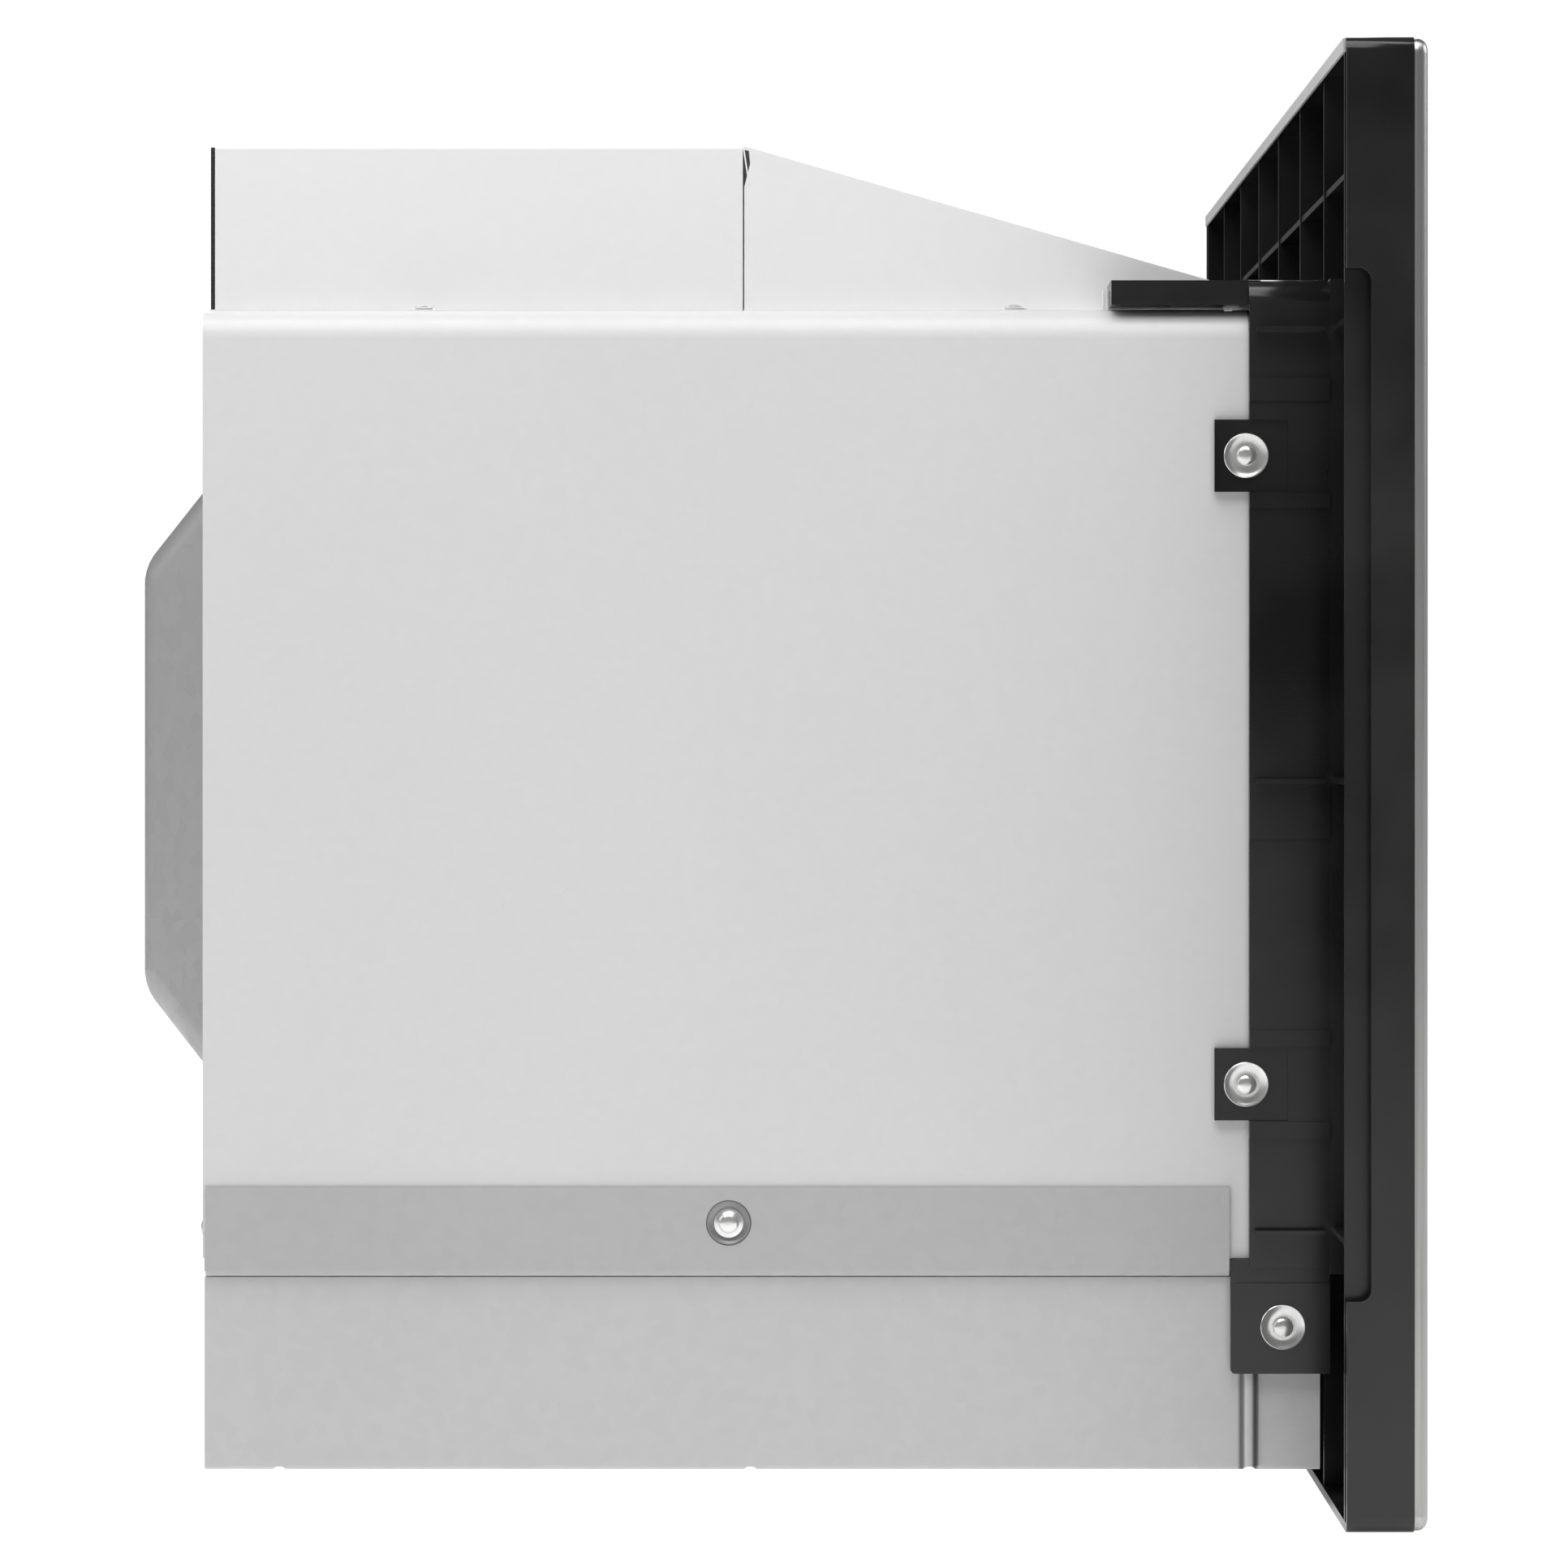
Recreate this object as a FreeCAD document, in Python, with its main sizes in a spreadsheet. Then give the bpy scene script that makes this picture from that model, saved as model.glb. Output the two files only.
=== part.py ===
"""Built-in microwave oven with a 30-inch front trim, as a FreeCAD parametric document.

Frame, in millimetres: X to the right of someone facing the oven, Y to the rear, Z up.
The origin is the centre of the base pan's flat underside, which rests on the cut-out's shelf.
Every size is a cell of the "Sizes" sheet; each piece's sketches and primitives are bound to it.
"""

import FreeCAD, Part
import math
import os
import Sketcher

Vector = FreeCAD.Vector
doc = FreeCAD.newDocument("BuiltInMicrowave")

# ---------------------------------------------------------------- driving sizes

SIZES = [
    # front trim
    ("trim_width", 756.0), ("trim_height", 485.0), ("trim_drop", 12.0), ("trim_depth", 22.0),
    ("trim_wall", 3.0), ("trim_web", 2.5), ("trim_gap", 3.0), ("trim_round", 5.0),
    ("rib_pitch", 108.0), ("rib_thick", 2.0), ("rib_drop", 43.0), ("rib_setback", 1.0),
    ("relief_depth", 8.0), ("relief_foot", 5.0), ("relief_head", 1.0), ("relief_round", 4.0),
    ("inner_web_inset", 6.0), ("seal_height", 4.6), ("seal_thick", 0.8),
    # steel face of the trim
    ("face_depth", 4.5), ("face_sheet", 1.0), ("face_lap", 0.4), ("face_round", 3.4),
    ("opening_inset", 6.0), ("opening_sill", 6.0), ("opening_head", 3.0),
    ("opening_step", 2.0), ("rim_wall", 6.0),
    ("vent_inset", 50.0), ("vent_low", 22.0), ("vent_high", 38.0), ("vent_play", 0.2),
    ("vent_slat", 1.2), ("vent_depth", 9.0),
    # cabinet
    ("trim_reach", 72.0), ("trim_head", 84.0), ("body_sheet", 1.0), ("bend_round", 10.0),
    ("wrap_lift", 5.0), ("rear_lap", 0.5), ("rear_inset", 0.5),
    # base pan and base plate
    ("base_length", 374.0), ("pan_inset", 1.0), ("base_height", 64.6), ("pan_sheet", 1.2),
    ("pan_lip", 12.0), ("bead_setback", 23.7), ("bead_radius", 3.2), ("bead_rise", 2.4),
    ("gusset_radius", 2.6), ("gusset_length", 8.0), ("outlet_inset", 85.0), ("outlet_edge", 12.0),
    ("shelf_hole_inset", 65.0), ("shelf_hole_y", 260.0), ("shelf_hole_radius", 2.5),
    ("floor_gap", 0.4), ("floor_sheet", 1.0), ("flange_height", 28.8), ("flange_thick", 1.2),
    ("flange_front", 6.5), ("flange_rear", 1.0), ("dimple_radius", 7.6), ("dimple_depth", 0.5),
    # exhaust duct on the cabinet's top
    ("duct_inset", 37.5), ("duct_height", 58.0), ("duct_seam", 7.0), ("seam_gap", 0.5), ("duct_sheet", 1.0),
    ("hood_setback", 3.0), ("hood_rise", 10.0), ("duct_foot", 19.5), ("notch_width", 2.0),
    ("notch_drop", 10.0), ("gasket_thick", 1.4), ("gasket_width", 6.0),
    # moulded collar between cabinet and trim
    ("collar_stand", 4.0), ("collar_length", 27.0), ("collar_wall", 3.0), ("collar_rise", 10.0),
    ("collar_lift", 2.0), ("collar_round", 8.0), ("ear_length", 46.0), ("ear_width", 30.0),
    ("ear_lift", 1.5), ("tab_front", 12.9), ("tab_rear", 11.6), ("tab_half", 12.1),
    ("tab_thick", 2.5), ("tab_drop", 49.2), ("tab_climb", 58.4), ("tab_lift", 0.3),
    ("bracket_drop", 32.0), ("bracket_play", 1.7), ("bracket_rear", 6.3), ("bracket_screw_y", 15.8),
    ("bracket_screw_drop", 16.3), ("collar_rib", 6.0), ("collar_rib_thick", 1.5),
    # screws
    ("shank_radius", 1.9), ("hole_radius", 2.1), ("head_radius", 3.4), ("head_height", 2.4),
    ("washer_radius", 7.5), ("washer_thick", 1.0), ("flange_head_radius", 5.0),
    ("shank_length", 8.0), ("cross_width", 0.9), ("cross_depth", 1.2),
    # cooking cavity
    ("cavity_margin", 28.0), ("cavity_right", 112.0), ("under_floor", 26.0), ("over_roof", 39.0),
    ("cavity_sheet", 1.0), ("cavity_round", 8.0), ("front_plate_gap", 8.0), ("plate_flange", 18.0),
    ("bulge_depth", 32.0), ("bulge_inset", 43.0), ("bulge_slope", 36.0), ("bulge_sill", 29.0),
    ("bulge_head", 9.0), ("bulge_round", 18.0),
    # door
    ("door_gap", 3.0), ("door_proud", 1.5), ("door_clear", 2.0), ("door_lap", 15.5),
    ("glass_thick", 4.0), ("door_wall", 3.0), ("window_side", 55.0), ("window_top", 48.0),
    ("hinge_inset", 12.0), ("hinge_setback", 8.5), ("pin_radius", 3.0), ("pin_play", 0.05),
    ("boss_radius", 7.0), ("boss_height", 12.0), ("hinge_plate", 1.6), ("hinge_clear", 0.7),
    ("choke_sheet", 1.0), ("choke_depth", 14.0), ("choke_width", 22.0), ("screen_thick", 0.6),
    ("latch_width", 4.0), ("latch_slot", 11.5), ("hook_sill", 33.0), ("hook_head", 25.0),
    ("hook_height", 9.0), ("hook_reach", 24.0), ("latch_lift", 4.0),
    # control panel
    ("panel_wall", 2.5), ("panel_gap", 3.5), ("button_sill", 14.0), ("button_height", 26.0),
    ("button_edge", 19.0), ("button_play", 1.0), ("button_travel", 5.0), ("keypad_gap", 6.0),
    # turntable
    ("tray_play", 13.5), ("tray_thick", 4.0), ("tray_rise", 14.0),
    ("roller_radius", 7.4), ("roller_width", 8.0), ("roller_circle", 95.0), ("roller_play", 0.1),
    ("ring_inner", 80.0), ("ring_outer", 88.0), ("axle_radius", 1.6), ("axle_play", 0.08),
    ("coupler_radius", 12.0), ("coupler_play", 0.5), ("lug_reach", 11.0), ("motor_radius", 24.0), ("motor_height", 15.0),
    # parts of the component bay
    ("wave_depth", 34.0), ("wave_length", 130.0), ("wave_height", 90.0), ("magnetron_width", 78.0),
    ("magnetron_height", 84.0), ("magnetron_depth", 66.0), ("fan_radius", 52.0), ("fan_inset", 92.0),
    ("fan_drop", 127.0), ("gland_inset", 44.0), ("gland_climb", 44.0), ("gland_bore", 4.2), ("gland_radius", 8.0),
]

sheet = doc.addObject("Spreadsheet::Sheet", "Sizes")


class Size:
    """A number together with the sheet expression that gives it, so that sums of sizes stay bound."""

    def __init__(self, number, text):
        self.number, self.text = float(number), text

    def _with(self, other, sign, swapped=False):
        other = other if isinstance(other, Size) else Size(other, f"({float(other)!r})")
        first, second = (other, self) if swapped else (self, other)
        number = {
            "+": lambda a, b: a + b,
            "-": lambda a, b: a - b,
            "*": lambda a, b: a * b,
            "/": lambda a, b: a / b,
        }[sign](first.number, second.number)
        return Size(number, f"({first.text} {sign} {second.text})")

    def __add__(self, other):
        return self._with(other, "+")

    def __radd__(self, other):
        return self._with(other, "+", True)

    def __sub__(self, other):
        return self._with(other, "-")

    def __rsub__(self, other):
        return self._with(other, "-", True)

    def __mul__(self, other):
        return self._with(other, "*")

    def __rmul__(self, other):
        return self._with(other, "*", True)

    def __truediv__(self, other):
        return self._with(other, "/")

    def __neg__(self):
        return self._with(-1, "*")


class Sheet:
    """The sheet's cells as attributes, such as s.trim_width."""


s = Sheet()
for row, (alias, number) in enumerate(SIZES, start=1):
    sheet.set(f"A{row}", alias.replace("_", " "))
    sheet.set(f"B{row}", repr(number))
    sheet.setAlias(f"B{row}", alias)
    setattr(s, alias, Size(number, f"Sizes.{alias}"))
doc.recompute()


def number(value):
    """The plain number of a Size or of a number."""
    return value.number if isinstance(value, Size) else float(value)


def smaller(a, b):
    """The smaller of two sizes, bound like any other."""
    return Size(min(a.number, b.number), f"min({a.text}; {b.text})")


# Widths that follow from the trim and the clearances.
s.body_width = s.trim_width - 2 * s.trim_reach
s.opening_width = s.body_width - 2 * s.opening_inset
s.pan_width = s.body_width - 2 * s.pan_inset
s.collar_width = s.body_width + 2 * s.collar_stand
s.duct_width = s.body_width - 2 * s.duct_inset
s.vent_width = s.opening_width - 2 * s.vent_inset
s.outlet_width = s.pan_width - 2 * s.outlet_inset
s.shelf_hole_x = s.pan_width - 2 * s.shelf_hole_inset
s.cavity_left = s.body_width / 2 - s.cavity_margin
s.door_width = s.opening_width / 2 - s.door_gap + s.cavity_right + s.door_lap
s.fan_x = s.body_width / 2 - s.fan_inset
s.gland_x = s.body_width / 2 - s.gland_inset

# Levels that follow from the base plate's top, and levels that follow from the cabinet's top.
s.floor_top = s.base_height + s.floor_gap + s.floor_sheet
s.wrap_bottom = s.floor_top + s.wrap_lift
s.flange_top = s.floor_top + s.flange_height
s.collar_low = s.floor_top + s.collar_lift
s.opening_bottom = s.floor_top + s.opening_sill
s.cavity_floor = s.floor_top + s.under_floor
s.bulge_low = s.cavity_floor + s.bulge_sill
s.hook_low = s.cavity_floor + s.hook_sill
s.tab_lower = s.wrap_bottom + s.tab_climb
s.gland_z = s.floor_top + s.gland_climb
s.relief_bottom = s.collar_low - s.relief_foot
s.bracket_low = s.base_height - s.bracket_drop
s.bracket_high = s.base_height - s.bracket_play
s.bracket_screw_z = s.base_height - s.bracket_screw_drop
s.body_top = s.trim_height - s.trim_drop - s.trim_head
s.collar_top = s.body_top + s.collar_rise
s.duct_top = s.body_top + s.duct_height
s.hood_low = s.body_top + s.hood_rise
s.ear_low = s.body_top + s.ear_lift
s.tab_upper = s.body_top - s.tab_drop
s.relief_top = s.collar_top - s.relief_head
s.rib_level = s.trim_height - s.trim_drop - s.rib_drop
s.opening_height = s.body_top - s.opening_head - s.opening_bottom
s.cavity_top = s.body_top - s.over_roof
s.bulge_high = s.cavity_top - s.bulge_head
s.hook_high = s.cavity_top - s.hook_head
s.fan_z = s.body_top - s.fan_drop
s.button_low = s.opening_bottom + s.button_sill
s.keypad_low = s.button_low + s.button_height + s.keypad_gap


def bind(thing, name, value):
    """Sets one property to a number, or binds it to the sheet."""
    if isinstance(value, Size):
        thing.setExpression(name, value.text)
    elif "." in name:
        thing.setExpression(name, repr(float(value)))
    elif "[" not in name:
        setattr(thing, name, float(value))


# ---------------------------------------------------------------- modelling helpers

PLANES = {"XY": 1, "XZ": -1, "YZ": 1}  # sign of the sketch's normal along the axis that is left


def rect(u0, v0, u1, v1):
    """A rectangle as a closed outline of four points."""
    return [(u0, v0), (u1, v0), (u1, v1), (u0, v1)]


def circle(u, v, radius):
    """A round outline."""
    return ("circle", u, v, radius)


class Piece:
    """A PartDesign body built up by pads and pockets between two levels of a plane's own axis."""

    def __init__(self, label):
        self.body = doc.addObject("PartDesign::Body", label)
        self.label = label
        self.count = 0

    def _sketch(self, plane, level, outlines):
        self.count += 1
        sketch = self.body.newObject("Sketcher::SketchObject", f"{self.label}_sketch{self.count}")
        origin = [f for f in self.body.Origin.OriginFeatures if f.Role == f"{plane}_Plane"][0]
        sketch.AttachmentSupport = (origin, [""])
        sketch.MapMode = "FlatFace"
        bind(sketch, "AttachmentOffset.Base.z", level * PLANES[plane])
        for outline in outlines:
            if outline[0] == "circle":
                self._round_outline(sketch, *outline[1:])
            else:
                self._straight_outline(sketch, outline)
        return sketch

    def _round_outline(self, sketch, u, v, radius):
        centre = Vector(number(u), number(v), 0)
        at = sketch.addGeometry(Part.Circle(centre, Vector(0, 0, 1), number(radius)))
        self._place_point(sketch, at, 3, u, v)
        held = sketch.addConstraint(Sketcher.Constraint("Radius", at, number(radius)))
        bind(sketch, f"Constraints[{held}]", radius)

    def _straight_outline(self, sketch, points):
        first = sketch.GeometryCount
        total = len(points)
        for i, (u, v) in enumerate(points):
            u1, v1 = points[(i + 1) % total]
            start, end = Vector(number(u), number(v), 0), Vector(number(u1), number(v1), 0)
            sketch.addGeometry(Part.LineSegment(start, end))
        for i in range(total):
            join = Sketcher.Constraint("Coincident", first + i, 2, first + (i + 1) % total, 1)
            sketch.addConstraint(join)
        for i, (u, v) in enumerate(points):
            self._place_point(sketch, first + i, 1, u, v)

    def _place_point(self, sketch, geometry, point, u, v):
        for kind, value in (("DistanceX", u), ("DistanceY", v)):
            held = sketch.addConstraint(
                Sketcher.Constraint(kind, -1, 1, geometry, point, number(value))
            )
            bind(sketch, f"Constraints[{held}]", value)

    def _feature(self, kind, sketch, length):
        feature = self.body.newObject(f"PartDesign::{kind}", f"{self.label}_{kind.lower()}{self.count}")
        feature.Profile = sketch
        bind(feature, "Length", length)
        return feature

    def pad(self, plane, low, high, *outlines):
        level = low if PLANES[plane] > 0 else high
        self._feature("Pad", self._sketch(plane, level, outlines), high - low)
        return self

    def pocket(self, plane, low, high, *outlines):
        level = high if PLANES[plane] > 0 else low
        self._feature("Pocket", self._sketch(plane, level, outlines), high - low)
        return self

    def fillet(self, radius, chosen):
        """Rounds every edge that chosen(edge) accepts."""
        doc.recompute()
        base = self.body.Tip
        names = [f"Edge{i}" for i, edge in enumerate(base.Shape.Edges, 1) if chosen(edge)]
        if not names:
            raise RuntimeError(f"{self.label}: no edge to round")
        self.count += 1
        feature = self.body.newObject("PartDesign::Fillet", f"{self.label}_fillet{self.count}")
        feature.Base = (base, names)
        bind(feature, "Radius", radius)
        return self


def near(a, b):
    """Whether two places are the same to within a hundredth of a millimetre."""
    return abs(number(a) - number(b)) < 0.01


def runs_along(axis, **places):
    """Chooses straight edges along an axis whose other coordinates are at the given places."""

    def chosen(edge):
        if edge.Curve.TypeId != "Part::GeomLine":
            return False
        ends = [v.Point for v in edge.Vertexes]
        span = ends[1] - ends[0]
        if abs(getattr(span, axis)) < 0.99 * span.Length:
            return False
        middle = (ends[0] + ends[1]) * 0.5
        for name, options in places.items():
            at = getattr(middle, name)
            options = options if isinstance(options, (list, tuple)) else [options]
            if not any(near(at, option) for option in options):
                return False
        return True

    return chosen


AXES = {
    "x": FreeCAD.Rotation(Vector(0, 1, 0), 90),
    "y": FreeCAD.Rotation(Vector(1, 0, 0), -90),
    "z": FreeCAD.Rotation(),
}


def place(thing, x, y, z):
    """Binds a primitive's base point."""
    for name, value in (("x", x), ("y", y), ("z", z)):
        bind(thing, f"Placement.Base.{name}", value)
    return thing


def block(label, x0, x1, y0, y1, z0, z1):
    """A box between pairs of places."""
    box = doc.addObject("Part::Box", label)
    bind(box, "Length", x1 - x0)
    bind(box, "Width", y1 - y0)
    bind(box, "Height", z1 - z0)
    return place(box, x0, y0, z0)


def rod(label, axis, x, y, z, radius, length):
    """A cylinder from a point along +axis."""
    cylinder = doc.addObject("Part::Cylinder", label)
    bind(cylinder, "Radius", radius)
    bind(cylinder, "Height", length)
    cylinder.Placement = FreeCAD.Placement(Vector(), AXES[axis])
    return place(cylinder, x, y, z)


def fuse(label, *things):
    """One solid out of things that touch."""
    joined = doc.addObject("Part::MultiFuse", label)
    joined.Shapes = list(things)
    joined.Refine = True
    return joined


def cut(label, base, *tools):
    """Base with every tool taken away."""
    tool = tools[0] if len(tools) == 1 else fuse(f"{label}_tools", *tools)
    left = doc.addObject("Part::Cut", label)
    left.Base, left.Tool = base, tool
    left.Refine = True
    return left


def group(label, *things):
    """Separate solids of one kind in one node."""
    gathered = doc.addObject("Part::Compound", label)
    gathered.Links = list(things)
    return gathered


NODES = []


def node(thing):
    """Marks an object as one of the oven's pieces, written under its label."""
    NODES.append(thing.body if isinstance(thing, Piece) else thing)
    return NODES[-1]


SIDES = ((-1, "left"), (1, "right"))


def span(side, near_place, far_place):
    """A pair of X places on one side, given their distances from the middle, in rising order."""
    if side > 0:
        return near_place, far_place
    return -far_place, -near_place


# ---------------------------------------------------------------- places worked out from the sizes

pan_front = -(s.base_length / 2)
pan_rear = s.base_length / 2
trim_rear = pan_front - s.trim_gap
trim_front = trim_rear - s.trim_depth
face_front = trim_front - s.face_depth
trim_half = s.trim_width / 2
trim_low = -s.trim_drop
trim_high = trim_low + s.trim_height
opening_half = s.opening_width / 2
opening_top = s.opening_bottom + s.opening_height
wrap_front = trim_rear + s.collar_length
wrap_rear = pan_rear + s.rear_lap
body_half = s.body_width / 2
body_inner = body_half - s.body_sheet
plate_front = wrap_front - s.front_plate_gap - s.body_sheet
plate_rear = plate_front + s.cavity_sheet
panel_rear = wrap_rear - s.rear_inset
panel_front = panel_rear - s.cavity_sheet
floor_top = s.floor_top
collar_half = s.collar_width / 2
collar_in = collar_half - s.collar_wall
duct_half = s.duct_width / 2
flange_inner = body_half + 0.2
door_front = face_front - s.door_proud
door_rear = plate_front - s.door_clear
door_left = -opening_half + s.door_gap
door_right = door_left + s.door_width
door_low = s.opening_bottom + s.door_gap
door_high = opening_top - s.door_gap
fascia_left = door_right + s.panel_gap
fascia_right = opening_half - s.door_gap
hinge_x = door_left + s.hinge_inset
hinge_y = door_front + s.hinge_setback
table_x = (s.cavity_right - s.cavity_left) / 2
s.table_y = (plate_rear + panel_front) / 2
s.tray_radius = smaller((s.cavity_right + s.cavity_left) / 2, (panel_front - plate_rear) / 2) - s.tray_play
tab_reach = wrap_front + s.tab_rear
tab_start = wrap_front - s.tab_front
tab_out = body_half + s.tab_lift + s.tab_thick
screw_y = wrap_front + 1
bracket_y = trim_rear + s.bracket_screw_y
bracket_out = collar_half - 0.4
duct_screw_x = duct_half + s.duct_foot * 0.55
duct_screws_y = (pan_rear - 72, (s.duct_seam + wrap_front + s.hood_setback) / 2 - 8.5)
base_screw = (11.2, floor_top + 16.9)
rear_screw = (body_half - 14, 80.0)
bracket_in = s.pan_width / 2 + s.bead_rise + 0.3


# ---------------------------------------------------------------- cabinet shell

# The cabinet wrapper is one galvanised sheet folded over the top and both sides.
wrapper = Piece("cabinet_wrapper")
wrapper.pad(
    "XZ", wrap_front, wrap_rear,
    [
        (-body_half, s.wrap_bottom), (-body_half, s.body_top), (body_half, s.body_top),
        (body_half, s.wrap_bottom), (body_inner, s.wrap_bottom), (body_inner, s.body_top - s.body_sheet),
        (-body_inner, s.body_top - s.body_sheet), (-body_inner, s.wrap_bottom),
    ],
)
wrapper.fillet(s.bend_round, runs_along("y", x=[-body_half, body_half], z=s.body_top))
wrapper.fillet(
    s.bend_round - s.body_sheet,
    runs_along("y", x=[-body_inner, body_inner], z=s.body_top - s.body_sheet),
)
side_holes = [circle(screw_y, z, s.hole_radius) for z in (s.tab_upper, s.tab_lower)]
side_holes.append(circle(base_screw[0], base_screw[1], s.hole_radius))
wrapper.pocket("YZ", -body_half - 1, body_half + 1, *side_holes)
wrapper.pocket(
    "XY", s.body_top - 2, s.body_top + 1,
    *[circle(duct_screw_x * side, y, s.hole_radius) for side, _ in SIDES for y in duct_screws_y],
)
wrapper.pocket("XY", s.body_top - 2, s.body_top + 1, rect(-duct_half + 88.5, s.duct_seam + 33, duct_half - 88.5, pan_rear - 37))
node(wrapper)

# The rear panel closes the cabinet, and is drawn outwards behind the cavity to clear the turntable.
bulge_left = -s.cavity_left + s.bulge_inset
bulge_right = s.cavity_right - s.bulge_inset


def frustum(label, grow, y0, y1):
    """The bulge's form, larger all round by grow, from its base at y0 to its top at y1."""
    wedge = doc.addObject("Part::Wedge", label)
    for name, value in (
        ("Xmin", bulge_left - grow), ("Xmax", bulge_right + grow),
        ("Zmin", s.bulge_low - grow), ("Zmax", s.bulge_high + grow),
        ("X2min", bulge_left + s.bulge_slope - grow), ("X2max", bulge_right - s.bulge_slope + grow),
        ("Z2min", s.bulge_low + s.bulge_slope - grow), ("Z2max", s.bulge_high - s.bulge_slope + grow),
        ("Ymin", y0), ("Ymax", y1),
    ):
        bind(wedge, name, value)
    return wedge


def rounded(label, base, radius, chosen):
    """Base with a constant round on the chosen edges, its radius read from the sheet."""
    doc.recompute()
    edges = [i for i, edge in enumerate(base.Shape.Edges, 1) if chosen(edge)]
    softened = doc.addObject("Part::Fillet", label)
    softened.Base = base
    softened.Edges = [(i, number(radius), number(radius)) for i in edges]
    return softened


def off_plane(y):
    """Chooses the edges that leave or don't touch the plane at y."""
    return lambda edge: any(abs(v.Y - number(y)) > 0.01 for v in edge.Vertexes)


dome_outer = rounded("dome_outer", frustum("dome_outer_form", s.cavity_sheet, panel_front, panel_rear + s.bulge_depth),
                     s.bulge_round, off_plane(panel_front))
dome_inner = rounded("dome_inner", frustum("dome_inner_form", 0.0 * s.cavity_sheet, panel_front - 1,
                                           panel_rear + s.bulge_depth - s.cavity_sheet),
                     s.bulge_round - s.cavity_sheet, off_plane(panel_front - 1))
rear_sheet = block("rear_sheet", -body_inner + 0.3, body_inner - 0.3, panel_front, panel_rear,
                   floor_top + 0.5, s.body_top - s.body_sheet - 0.5)
rear_corners = rounded("rear_corners", rear_sheet, s.bend_round,
                       lambda e: runs_along("y")(e) and e.CenterOfMass.z > number(s.body_top) / 2)
rear_holes = [rod(f"rear_screw_hole_{name}", "y", rear_screw[0] * side, panel_front - 1, rear_screw[1],
                  s.hole_radius, 4.0) for side, name in SIDES]
gland_hole = rod("gland_hole", "y", s.gland_x, panel_front - 1, s.gland_z, s.gland_radius, 4.0)
fan_grille = []
for ring in range(1, 5):
    for step in range(ring * 6):
        turn = 2 * math.pi * step / (ring * 6)
        reach = s.fan_radius * (ring / 4.6)
        fan_grille.append(rod(f"fan_hole_{ring}_{step}", "y", s.fan_x + reach * math.cos(turn), panel_front - 1,
                              s.fan_z + reach * math.sin(turn), s.fan_radius / 14, 4.0))
rear_solid = fuse("rear_solid", rear_corners, dome_outer)
node(cut("rear_panel", rear_solid, dome_inner, gland_hole, *rear_holes, *fan_grille))

# The front plate is the cavity's face: a sheet with the door opening, latch slots and turned-back edges.
plate_half = body_inner - 0.2
plate_right = door_right + 1.5
plate_low = floor_top + 0.5
plate_high = s.body_top - s.body_sheet - 0.3
latch_x = door_right - 7.5
front_plate = Piece("front_plate")
front_plate.pad("XZ", plate_front, plate_rear, rect(-plate_half, plate_low, plate_right, plate_high))
front_plate.pad(
    "XZ", plate_rear, plate_rear + s.plate_flange,
    [
        (plate_right, plate_high), (-plate_half, plate_high), (-plate_half, plate_low), (plate_right, plate_low),
        (plate_right, plate_low + s.cavity_sheet), (-plate_half + s.cavity_sheet, plate_low + s.cavity_sheet),
        (-plate_half + s.cavity_sheet, plate_high - s.cavity_sheet), (plate_right, plate_high - s.cavity_sheet),
    ],
)
front_plate.pocket(
    "XZ", plate_front - 1, plate_rear + 1,
    rect(-s.cavity_left, s.cavity_floor, s.cavity_right, s.cavity_top),
)
front_plate.fillet(s.bend_round - 2 * s.cavity_sheet,
                   runs_along("y", x=-plate_half + s.cavity_sheet, z=plate_high - s.cavity_sheet))
front_plate.fillet(s.bend_round - s.cavity_sheet, runs_along("y", x=-plate_half, z=plate_high))
front_plate.fillet(s.cavity_round, runs_along("y", x=[-s.cavity_left, s.cavity_right],
                                              z=[s.cavity_floor, s.cavity_top]))
front_plate.pocket(
    "XZ", plate_front - 1, plate_rear + 1,
    *[rect(latch_x - s.latch_slot / 2, z - 4, latch_x + s.latch_slot / 2, z + s.hook_height + s.latch_lift + 4)
      for z in (s.hook_low, s.hook_high)],
)
front_plate.pocket("YZ", -plate_half - 1, -plate_half + 3,
                   *[circle(screw_y, z, s.hole_radius) for z in (s.tab_upper, s.tab_lower)])
node(front_plate)

# The cavity liner is the painted steel tube that food sits in, pierced for air, light and microwaves.
liner_sheet = s.cavity_sheet
liner = Piece("cavity_liner")
liner.pad("XZ", plate_rear, panel_front,
          rect(-s.cavity_left - liner_sheet, s.cavity_floor - liner_sheet,
               s.cavity_right + liner_sheet, s.cavity_top + liner_sheet),
          rect(-s.cavity_left, s.cavity_floor, s.cavity_right, s.cavity_top))
liner.fillet(s.cavity_round + liner_sheet,
             runs_along("y", x=[-s.cavity_left - liner_sheet, s.cavity_right + liner_sheet]))
liner.fillet(s.cavity_round, runs_along("y", x=[-s.cavity_left, s.cavity_right],
                                        z=[s.cavity_floor, s.cavity_top]))
wave_mid_y, wave_mid_z = s.table_y - 17.5, s.cavity_top - 100
lamp_y, lamp_z = s.table_y - 67.5, s.cavity_top - 25
liner.pocket("YZ", s.cavity_right - 2, s.cavity_right + 2,
             rect(wave_mid_y - s.wave_length / 4, wave_mid_z - s.wave_height / 3,
                  wave_mid_y + s.wave_length / 4, wave_mid_z + s.wave_height / 3),
             *[circle(s.table_y + 92.5 + 8 * i, s.cavity_top - 50 + 8 * j, 2.0) for i in range(7) for j in range(4)],
             *[circle(lamp_y - 10.5 + 7 * i, lamp_z - 7 + 7 * j, 1.8) for i in range(4) for j in range(3)])
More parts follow.
